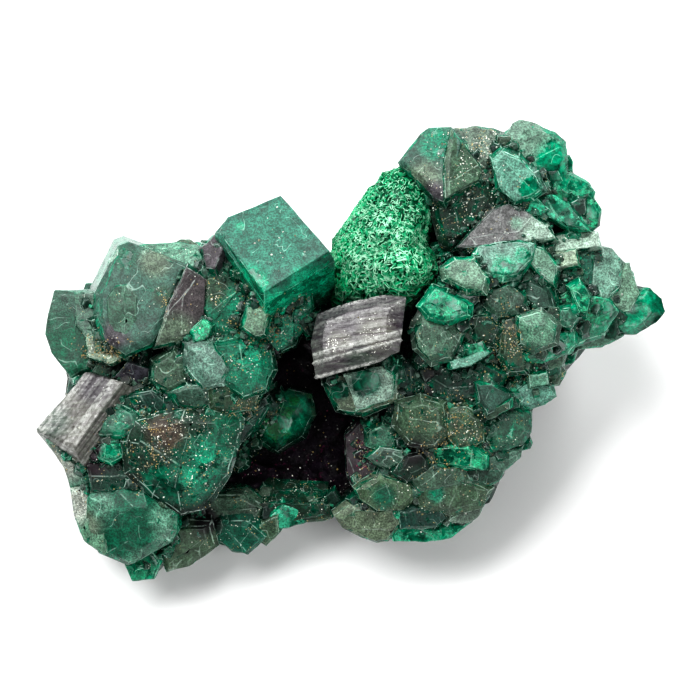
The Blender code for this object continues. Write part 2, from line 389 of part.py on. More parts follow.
def make_block(row, collection, grow=1.0):
    """A crystal: its outline on the card, drawn back along its own direction, with a smaller front face
    that stands forward and a little off the middle, so that sloping facets of unlike width surround it."""
    name, outline, depth, rise, back, edge = row
    draw = random.Random(name)
    middle = sum((Vector(point) for point in outline), Vector((0, 0))) / len(outline)
    radius = sum((Vector(point) - middle).length for point in outline) / len(outline)
    tilt = [slope + draw.uniform(-STRAY_TILT, STRAY_TILT) for slope in rise]
    share = max(1.0 - EDGE_SPREAD * edge / radius, SMALLEST_FACE)
    nearest = draw.choice(outline)
    aside = (Vector(nearest) - middle) * draw.uniform(0.0, ASIDE_SHARE) * (1.0 - share)
    shape = bmesh.new()
    corners = []
    for x, y in outline:
        height = depth + tilt[0] * (x - middle.x) + tilt[1] * (middle.y - y)
        corners.append(shape.verts.new(card_point(x, y, height) + Vector(back)))
    rear = shape.faces.new(corners)
    drawn = bmesh.ops.extrude_face_region(shape, geom=[rear])["geom"]
    front_corners = [part for part in drawn if isinstance(part, bmesh.types.BMVert)]
    front = [part for part in drawn if isinstance(part, bmesh.types.BMFace)]
    step = EDGE_STEEPNESS * (1.0 - share) * radius
    bmesh.ops.translate(shape, verts=front_corners, vec=-Vector(back) - Vector((0, 0, step)))
    bmesh.ops.recalc_face_normals(shape, faces=shape.faces)
    bmesh.ops.inset_region(shape, faces=front, thickness=FIRST_INSET, depth=0.0)
    centre = front[0].calc_center_median()
    for vert in front[0].verts:
        vert.co = centre + share * (vert.co - centre) + Vector((aside.x, -aside.y, step))
    if grow > 1.0:
        centre = sum((vert.co for vert in shape.verts), Vector()) / len(shape.verts)
        about_centre = Matrix.Translation(centre) @ Matrix.Scale(grow, 4) @ Matrix.Translation(-centre)
        bmesh.ops.transform(shape, matrix=about_centre, verts=shape.verts)
    return make_object(name, shape, collection)


def make_lump(name, row, kind, collection, grow=0.0):
    """A rounded lump with an uneven surface, larger by grow millimetres on every side."""
    facets, unevenness = kind
    (x, y), depth, half_sizes = row
    shape = bmesh.new()
    bmesh.ops.create_icosphere(shape, subdivisions=facets, radius=1.0)
    for vert in shape.verts:
        uneven = 1.0 + unevenness * noise.noise(2.3 * vert.co + Vector((x, y, depth)))
        across = Vector((uneven * size + grow for size in half_sizes))
        vert.co = card_point(x, y, depth) + vert.co * across
    return make_object(name, shape, collection)


def inside_lump(place, lump):
    """Whether a point in card millimetres lies inside a lump."""
    (x, y), depth, half_sizes = lump
    away = place - card_point(x, y, depth)
    return sum((away[axis] / half_sizes[axis]) ** 2 for axis in range(3)) < 1.0


def find_side_place(draw, lumps):
    """A bare place on the far side of the crust: its point and the direction that it faces."""
    while True:
        lump = draw.choice(lumps)
        (x, y), depth, half_sizes = lump
        turn = draw.uniform(0, 2 * math.pi)
        lean = -draw.uniform(*SIDE_LEAN)
        flat = math.sqrt(1 - lean * lean)
        outward = Vector((flat * math.cos(turn), flat * math.sin(turn), lean))
        place = card_point(x, y, depth) + outward * Vector(half_sizes)
        covered = any(inside_lump(place, other) for other in lumps if other is not lump)
        if not covered and (STAND @ place).z > SIDE_FLOOR * MM:
            return place, outward


def make_side_crystal(name, draw, lumps, collection):
    """A short six-sided crystal with a three-faced end, standing on the far side of the crust."""
    place, outward = find_side_place(draw, lumps)
    width = draw.uniform(*SIDE_WIDTH)
    length = draw.uniform(*SIDE_LENGTH)
    shape = bmesh.new()
    bmesh.ops.create_cone(shape, cap_ends=True, segments=6, radius1=width / 2, radius2=width / 2,
                          depth=length)
    for third in range(3):
        around = third * 2 * math.pi / 3
        slope = Vector((math.cos(around), math.sin(around), SIDE_END_SLOPE)).normalized()
        cut_at = Vector((0, 0, length / 2 - SIDE_END_DROP * width))
        cut = bmesh.ops.bisect_plane(shape, geom=[*shape.verts, *shape.edges, *shape.faces],
                                     plane_co=cut_at, plane_no=slope, clear_outer=True)
        rim = [part for part in cut["geom_cut"] if isinstance(part, bmesh.types.BMEdge)]
        bmesh.ops.contextual_create(shape, geom=rim)
    stray = Vector([draw.uniform(-SIDE_STRAY, SIDE_STRAY) for axis in range(3)])
    stance = (outward + stray).normalized().to_track_quat("Z", "Y").to_matrix().to_4x4()
    spin = Matrix.Rotation(draw.uniform(0, math.pi), 4, "Z")
    bmesh.ops.transform(shape, matrix=Matrix.Translation(place) @ stance @ spin, verts=shape.verts)
    return make_object(name, shape, collection)


def make_ground_cutter(name, height, collection):
    """A block that takes away everything below a height above the surface that the rock rests on."""
    shape = bmesh.new()
    bmesh.ops.create_cube(shape, size=GROUND_BLOCK)
    down = Matrix.Translation((0, 0, height - GROUND_BLOCK / 2))
    return make_object(name, shape, collection, Matrix.Scale(MM, 4) @ down)


def join(name, shapes, cutters, parts):
    """One solid: the first shape with the others joined on and then every cutter taken away."""
    first, others = shapes[0], shapes[1:]
    group = bpy.data.collections.new(name + "_shapes")
    for shape in others:
        group.objects.link(shape)
    union = first.modifiers.new("grown_together", "BOOLEAN")
    union.operation = "UNION"
    union.operand_type = "COLLECTION"
    union.collection = group
    for cutter in cutters:
        cut = first.modifiers.new(cutter.name, "BOOLEAN")
        cut.operation = "DIFFERENCE"
        cut.object = cutter
    seen = first.evaluated_get(bpy.context.evaluated_depsgraph_get())
    solid = bpy.data.objects.new(name, bpy.data.meshes.new_from_object(seen))
    keep_outer_skin(solid.data)
    parts.objects.link(solid)
    return solid


def keep_outer_skin(mesh):
    """Keep the largest closed surface: the others are pockets between crystals, which are solid."""
    shape = bmesh.new()
    shape.from_mesh(mesh)
    unseen = set(shape.faces)
    skins = []
    while unseen:
        skin = {unseen.pop()}
        edge_of_skin = list(skin)
        while edge_of_skin:
            face = edge_of_skin.pop()
            for edge in face.edges:
                fresh = unseen.intersection(edge.link_faces)
                skin |= fresh
                unseen -= fresh
                edge_of_skin += fresh
        skins.append(skin)
    skins.sort(key=len)
    loose = [face for skin in skins[:-1] for face in skin]
    bmesh.ops.delete(shape, geom=loose, context="FACES")
    shape.to_mesh(mesh)
    shape.free()


def make_lumps(name, rows, kind, collection, grow=0.0):
    """All the lumps of one kind."""
    return [make_lump(f"{name}_{place}", row, kind, collection, grow) for place, row in enumerate(rows)]


def make_cluster(name, blocks, crust_lumps, side_crystals, cutters, scratch, parts):
    """A cluster: the crust with the crystals that grow from it, all one solid."""
    shapes = make_lumps(name + "_crust", crust_lumps, CRUST, scratch)
    shapes += [make_block(row, scratch) for row in blocks]
    draw = random.Random(name)
    for count in range(side_crystals):
        shapes.append(make_side_crystal(f"{name}_side_{count}", draw, crust_lumps, scratch))
    return join(name, shapes, cutters, parts)


def settle(things):
    """Move everything so that the origin is at the middle of the underside of the whole specimen."""
    corners = [vert.co for thing in things for vert in thing.data.vertices]
    low = Vector(min(corner[axis] for corner in corners) for axis in range(3))
    high = Vector(max(corner[axis] for corner in corners) for axis in range(3))
    shift = Matrix.Translation((-(low.x + high.x) / 2, -(low.y + high.y) / 2, -low.z))
    for thing in things:
        thing.data.transform(shift)


def finish_object(thing, material):
    """Give a finished solid its material and flat facets."""
    thing.data.materials.clear()
    thing.data.materials.append(material)
    thing.data.shade_flat()


def main():
    """Build every solid of the specimen."""
    parts, scratch = start_scene()
    ground = make_ground_cutter("ground", 0.0, scratch)
    crust_ground = make_ground_cutter("crust_ground", CRUST_FOOT, scratch)
    wide_rock = join("wide_rock", make_lumps("wide_rock", ROCK_LUMPS, ROCK, scratch, NODE_GAP), [], scratch)
    wide_ball = join("wide_ball", make_lumps("wide_ball", MALACHITE_LUMPS, BALL, scratch, NODE_GAP), [],
                     scratch)
    wide_prism = make_block(STRIATED_PRISM, scratch, CUTTER_GROWTH)
    wide_hollow_block = make_block(HOLLOW_BLOCK, scratch, CUTTER_GROWTH)

    rock = join("matrix_rock", make_lumps("rock", ROCK_LUMPS, ROCK, scratch), [ground], parts)
    ball = join("malachite_ball", make_lumps("ball", MALACHITE_LUMPS, BALL, scratch),
                [wide_rock, wide_prism], parts)
    prism = join("striated_crystal", [make_block(STRIATED_PRISM, scratch)], [wide_rock], parts)
    hollow = join("hollow_crystal", [make_block(HOLLOW_BLOCK, scratch)], [wide_rock], parts)
    left = make_cluster("dioptase_left", LEFT_BLOCKS, LEFT_CRUST_LUMPS, LEFT_SIDE_CRYSTALS,
                        [wide_rock, wide_ball, wide_hollow_block, crust_ground], scratch, parts)
    right = make_cluster("dioptase_right", RIGHT_BLOCKS, RIGHT_CRUST_LUMPS, RIGHT_SIDE_CRYSTALS,
                         [wide_rock, wide_ball, wide_prism, wide_hollow_block, crust_ground],
                         scratch, parts)

    settle((rock, ball, prism, hollow, left, right))
    emerald = make_material("emerald_dioptase", (0.01, 0.16, 0.09), 0.3)
    finish_object(left, emerald)
    finish_object(right, emerald)
    finish_object(hollow, emerald)
    finish_object(rock, make_material("dark_rock", (0.04, 0.025, 0.045), 0.8))
    finish_object(ball, make_material("velvet_malachite", (0.12, 0.5, 0.3), 0.7))
    finish_object(prism, make_material("grey_prism", (0.3, 0.3, 0.32), 0.4))
    for shape in list(scratch.objects):
        bpy.data.objects.remove(shape, do_unlink=True)


main()
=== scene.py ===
"""The looks of the dioptase specimen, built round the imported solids.

Crystals are given as outlines in millimetres on a 70 mm square card in front of the specimen, as in the
part's own source: x runs across from the card's left side, y down from its top, and depth towards the
viewer. Every piece is made in card millimetres and then placed with STAND and the frame's own shift."""

import math
import random

import bmesh
import bpy
import numpy as np
from mathutils import Matrix, Vector, noise
from mathutils.bvhtree import BVHTree
from mathutils.geometry import intersect_point_line


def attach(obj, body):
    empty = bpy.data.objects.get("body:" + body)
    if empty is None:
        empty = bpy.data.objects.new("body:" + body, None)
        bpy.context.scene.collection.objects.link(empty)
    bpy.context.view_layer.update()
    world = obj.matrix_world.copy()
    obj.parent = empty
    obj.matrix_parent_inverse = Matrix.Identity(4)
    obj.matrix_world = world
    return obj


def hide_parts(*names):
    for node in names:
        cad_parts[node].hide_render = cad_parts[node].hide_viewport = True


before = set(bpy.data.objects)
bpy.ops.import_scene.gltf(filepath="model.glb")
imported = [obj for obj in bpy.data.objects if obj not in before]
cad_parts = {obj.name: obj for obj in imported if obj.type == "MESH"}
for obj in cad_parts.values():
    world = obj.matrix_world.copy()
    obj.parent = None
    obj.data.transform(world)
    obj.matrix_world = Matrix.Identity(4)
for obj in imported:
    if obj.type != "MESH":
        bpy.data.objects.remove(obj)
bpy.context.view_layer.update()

MM = 0.001
CARD_MIDDLE = 35.0
CARD_RISE = math.radians(20)
CARD_HEIGHT = 12.5
CRUST_FOOT = 1.2

# The lumps of the crusts that the crystals grow from, and of the malachite, one row each: middle on the
# card, depth, and half sizes across, up and in depth.
LEFT_CRUST_LUMPS = (
    ((17.0, 40.0), -6.5, (10.6, 13.0, 9.3)),
    ((23.5, 31.0), -6.0, (6.5, 7.6, 8.8)),
    ((13.0, 33.6), -4.0, (6.3, 6.6, 6.0)),
    ((13.0, 51.0), -3.0, (4.5, 4.6, 3.6)),
    ((20.5, 51.5), -3.6, (7.5, 2.6, 3.0)),
)
RIGHT_CRUST_LUMPS = (
    ((48.5, 31.0), -6.0, (10.5, 10.5, 9.8)),
    ((44.5, 43.5), -5.5, (7.2, 8.0, 8.6)),
    ((51.5, 19.6), -5.0, (6.6, 6.2, 7.0)),
    ((45.0, 19.5), -4.5, (4.5, 5.6, 6.5)),
    ((59.0, 30.0), -2.0, (4.6, 4.2, 4.2)),
    ((39.5, 40.0), -3.0, (4.6, 5.6, 5.6)),
)
MALACHITE_LUMPS = (
    ((40.2, 21.2), -1.0, (3.7, 4.7, 5.2)),
    ((38.6, 24.0), -0.4, (4.5, 4.8, 6.0)),
    ((36.8, 27.0), -0.2, (4.3, 4.6, 5.6)),
    ((39.6, 27.0), 0.2, (4.4, 4.2, 5.6)),
)

# The blocky crystals that show, one row each: name, outline on the card, depth at the middle of the
# outline, rise of the face for each millimetre to the right and up, where the back of the crystal lies
# from its front (right, up, depth), and the width of the sloping edge round the face.
LEFT_BLOCKS = (
    ("great_rhomb", ((28.1, 19.6), (33.0, 25.2), (26.5, 29.3), (22.0, 23.3), (22.8, 21.8)),
     7.0, (0.02, -0.49), (0.2, -5.2, -10.6), 0.15),
    ("rhomb_flank", ((20.2, 24.9), (21.9, 23.0), (22.6, 24.5), (21.6, 27.0), (20.6, 26.8)),
     5.0, (0.6, -0.3), (1.0, -2.0, -7.0), 0.1),
    ("plate_left", ((11.9, 24.6), (12.9, 24.2), (18.7, 26.8), (17.1, 30.8), (15.4, 34.3), (12.7, 35.5),
                    (10.6, 34.0), (10.0, 31.5), (10.1, 29.5)),
     5.0, (0.18, -0.12), (-0.7, 0.7, -8.0), 0.3),
    ("plate_right", ((18.7, 26.8), (20.8, 28.0), (20.7, 31.7), (18.9, 33.9), (15.6, 34.6), (16.8, 30.8)),
     5.3, (-0.35, 0.05), (0.5, 0.5, -8.0), 0.2),
    ("plate_hillock", ((10.7, 30.0), (11.6, 28.4), (13.0, 28.3), (14.2, 29.6), (14.1, 32.6), (13.0, 34.2),
                       (11.4, 34.0), (10.7, 32.3)),
     5.15, (0.18, -0.12), (0.3, 0.0, -2.5), 0.25),
    ("back_slab", ((13.5, 24.5), (17.6, 24.2), (19.9, 24.5), (20.6, 26.0), (19.5, 26.9), (16.5, 25.8)),
     3.4, (0.0, -0.8), (0.0, -2.0, -6.0), 0.1),
    ("top_knob", ((17.2, 24.4), (18.1, 23.9), (19.1, 23.9), (19.9, 24.6), (19.0, 25.4), (17.8, 25.4)),
     2.5, (0.0, -0.4), (0.0, -2.0, -6.0), 0.1),
    ("left_block", ((5.4, 29.0), (9.9, 29.2), (9.9, 33.5), (8.6, 36.8), (7.1, 37.7), (5.2, 35.4),
                    (4.5, 33.4), (4.7, 31.9)),
     1.6, (0.1, -0.25), (2.5, 0.0, -6.0), 0.2),
    ("block_shoulder", ((7.4, 29.3), (10.4, 29.3), (10.4, 33.0), (9.0, 34.2), (7.6, 32.5)),
     2.2, (0.2, -0.2), (1.0, 0.0, -6.0), 0.1),
    ("plate_side", ((9.7, 29.1), (11.0, 26.0), (11.8, 24.8), (12.2, 27.0), (11.2, 30.0)),
     3.2, (1.0, 0.0), (2.0, -1.0, -6.0), 0.1),
    ("tan_wedge", ((8.8, 33.9), (9.7, 33.3), (11.2, 34.3), (12.6, 35.6), (10.9, 36.4), (8.9, 35.7)),
     3.8, (0.0, -0.4), (1.0, 0.5, -6.0), 0.1),
    ("gap_facet", ((11.5, 37.7), (12.8, 36.2), (15.0, 36.9), (15.2, 38.2), (13.3, 38.4)),
     3.2, (0.0, 0.5), (1.0, 0.0, -5.0), 0.1),
    ("shelf_pale", ((15.4, 36.2), (17.4, 35.0), (18.5, 36.2), (18.9, 38.3), (17.0, 39.3), (15.2, 38.2)),
     5.0, (0.15, 0.1), (0.5, 0.5, -7.0), 0.3),
    ("shelf_round", ((18.5, 34.4), (19.7, 33.8), (21.3, 34.2), (22.7, 35.7), (23.1, 36.9), (22.3, 38.3),
                     (20.4, 38.7), (18.9, 36.9)),
     6.2, (0.1, -0.2), (0.0, 1.0, -7.0), 0.45),
    ("shelf_dark", ((21.5, 34.2), (24.5, 33.7), (27.0, 34.6), (27.4, 37.0), (26.6, 38.9), (24.4, 39.6),
                    (22.6, 38.4), (21.6, 36.0)),
     5.6, (-0.2, -0.15), (-0.5, 1.0, -8.0), 0.4),
    ("shelf_low", ((17.0, 39.3), (18.8, 38.5), (20.6, 38.6), (21.4, 40.0), (20.2, 41.0), (17.9, 40.6)),
     5.2, (0.0, 0.3), (0.0, 1.0, -7.0), 0.25),
    ("shelf_gold", ((20.8, 38.9), (23.0, 38.4), (26.0, 39.3), (25.4, 40.9), (22.6, 41.4), (21.0, 40.9)),
     5.0, (-0.1, 0.4), (0.0, 1.0, -7.0), 0.25),
    ("pale_cube", ((24.9, 30.7), (26.2, 30.7), (26.8, 31.4), (26.5, 33.4), (25.5, 33.6), (24.4, 32.7)),
     6.9, (0.0, -0.2), (0.0, 0.5, -5.0), 0.15),
    ("teal_prism", ((19.0, 33.0), (20.3, 31.9), (21.4, 32.6), (20.8, 33.9), (19.4, 34.2)),
     5.4, (0.1, -0.2), (0.0, 0.0, -6.0), 0.1),
    ("rhomb_collar", ((20.7, 27.4), (22.6, 25.9), (24.6, 28.8), (25.6, 31.0), (23.8, 33.4), (21.6, 33.6),
                      (20.4, 31.4)),
     4.6, (0.1, -0.1), (0.0, 0.0, -8.0), 0.3),
    ("rhomb_foot", ((26.4, 30.6), (31.2, 28.8), (31.4, 31.0), (29.6, 34.4), (27.6, 35.6), (26.2, 34.0)),
     4.0, (-0.3, 0.3), (-1.0, 0.5, -7.0), 0.2),
    ("striated_block", ((3.6, 43.0), (7.0, 39.2), (8.6, 37.2), (12.4, 38.2), (10.4, 40.9), (7.7, 44.9)),
     4.0, (0.35, -0.35), (2.2, -3.0, -5.5), 0.1),
    ("block_back", ((6.7, 39.4), (7.0, 37.6), (8.3, 36.8), (9.2, 37.8), (8.0, 39.8)),
     1.8, (0.3, -0.3), (1.5, -1.0, -4.0), 0.1),
    ("block_under", ((4.4, 43.6), (7.7, 44.9), (9.2, 47.3), (8.8, 48.3), (7.0, 48.8), (6.3, 46.6)),
     2.0, (0.5, 0.6), (2.0, 0.5, -4.0), 0.1),
    ("green_step", ((9.9, 43.4), (10.3, 41.3), (11.8, 40.2), (13.7, 41.2), (13.9, 42.5), (12.3, 43.6)),
     4.5, (0.1, -0.2), (1.0, 0.0, -6.0), 0.25),
    ("clear_chip", ((9.6, 44.9), (10.5, 44.0), (12.2, 44.3), (12.6, 45.5), (11.1, 46.2), (9.9, 45.8)),
     4.0, (0.0, 0.0), (1.0, 0.0, -5.0), 0.2),
    ("step_upper", ((12.4, 39.6), (15.3, 39.0), (17.4, 40.6), (16.4, 42.2), (13.8, 42.2)),
     3.9, (0.0, 0.2), (0.5, 0.5, -6.0), 0.2),
    ("great_mass", ((13.4, 42.0), (18.6, 41.2), (23.3, 41.2), (24.2, 42.1), (23.6, 44.5), (22.7, 47.4),
                    (20.6, 50.4), (18.2, 51.0), (15.6, 49.4), (12.9, 47.2), (12.6, 44.2)),
     5.0, (-0.08, 0.12), (-0.5, 1.0, -8.0), 0.9),
    ("hollow_lip", ((23.2, 41.2), (26.0, 39.8), (27.2, 40.2), (25.8, 42.6), (24.2, 44.2), (23.2, 43.4)),
     3.0, (-0.3, 0.2), (-1.5, 0.5, -6.0), 0.2),
    ("hex_window", ((9.2, 49.9), (11.0, 48.6), (13.8, 48.8), (17.2, 51.0), (17.5, 53.0), (16.8, 54.0),
                    (12.8, 56.5), (9.9, 55.3), (8.6, 52.8)),
     3.6, (0.05, 0.15), (0.6, 1.4, -5.0), 1.1),
    ("window_rim", ((7.0, 48.6), (9.6, 48.0), (10.8, 49.4), (10.8, 55.2), (10.4, 55.5), (8.4, 54.1),
                    (7.4, 51.8)),
     1.8, (0.3, 0.1), (1.5, 1.0, -4.0), 0.2),
    ("mass_foot", ((8.6, 46.2), (12.2, 46.0), (14.8, 48.4), (12.0, 49.6), (9.2, 49.0)),
     2.9, (0.0, 0.1), (1.0, 0.5, -5.0), 0.2),
    ("foot_green", ((12.6, 56.7), (15.0, 55.0), (16.0, 56.2), (15.5, 58.0), (13.2, 58.1)),
     0.6, (0.0, 0.3), (0.8, 1.8, -3.0), 0.1),
    ("foot_grey", ((15.6, 54.6), (17.8, 52.7), (20.9, 52.6), (21.5, 54.8), (18.9, 56.7), (16.6, 57.3)),
     0.6, (0.0, 0.3), (0.0, 2.0, -3.5), 0.3),
    ("foot_teal", ((20.9, 53.6), (22.2, 52.0), (25.0, 52.1), (26.6, 53.8), (24.8, 55.5), (23.2, 55.2)),
     -0.6, (0.0, 0.3), (0.0, 2.0, -3.0), 0.25),
    ("foot_edge", ((25.4, 53.9), (26.2, 52.3), (27.8, 51.6), (27.9, 53.4), (26.6, 54.7)),
     -0.9, (0.0, 0.3), (0.0, 1.5, -3.0), 0.1),
    ("rim_green", ((27.0, 51.8), (28.2, 50.6), (30.0, 50.9), (30.6, 52.3), (29.0, 52.8), (27.6, 52.9)),
     -0.8, (0.0, 0.2), (0.0, 1.5, -3.0), 0.1),
    ("rim_gold", ((29.8, 50.7), (31.4, 49.9), (32.9, 50.8), (33.3, 52.0), (31.6, 52.2), (30.4, 52.3)),
     -1.0, (0.0, 0.2), (-0.5, 1.5, -3.0), 0.1),
    ("rim_sparkly", ((19.4, 51.8), (21.2, 49.6), (24.4, 49.4), (26.8, 50.8), (26.0, 52.6), (21.6, 52.9)),
     -0.9, (0.0, 0.3), (0.0, 1.0, -3.5), 0.3),
    ("rim_bar", ((14.5, 52.5), (20.0, 50.8), (27.0, 50.2), (32.4, 50.4), (32.8, 51.4), (27.0, 52.9),
                 (20.5, 54.6), (15.5, 55.6)),
     -1.9, (0.0, 0.3), (0.0, 2.0, -2.5), 0.2),
)

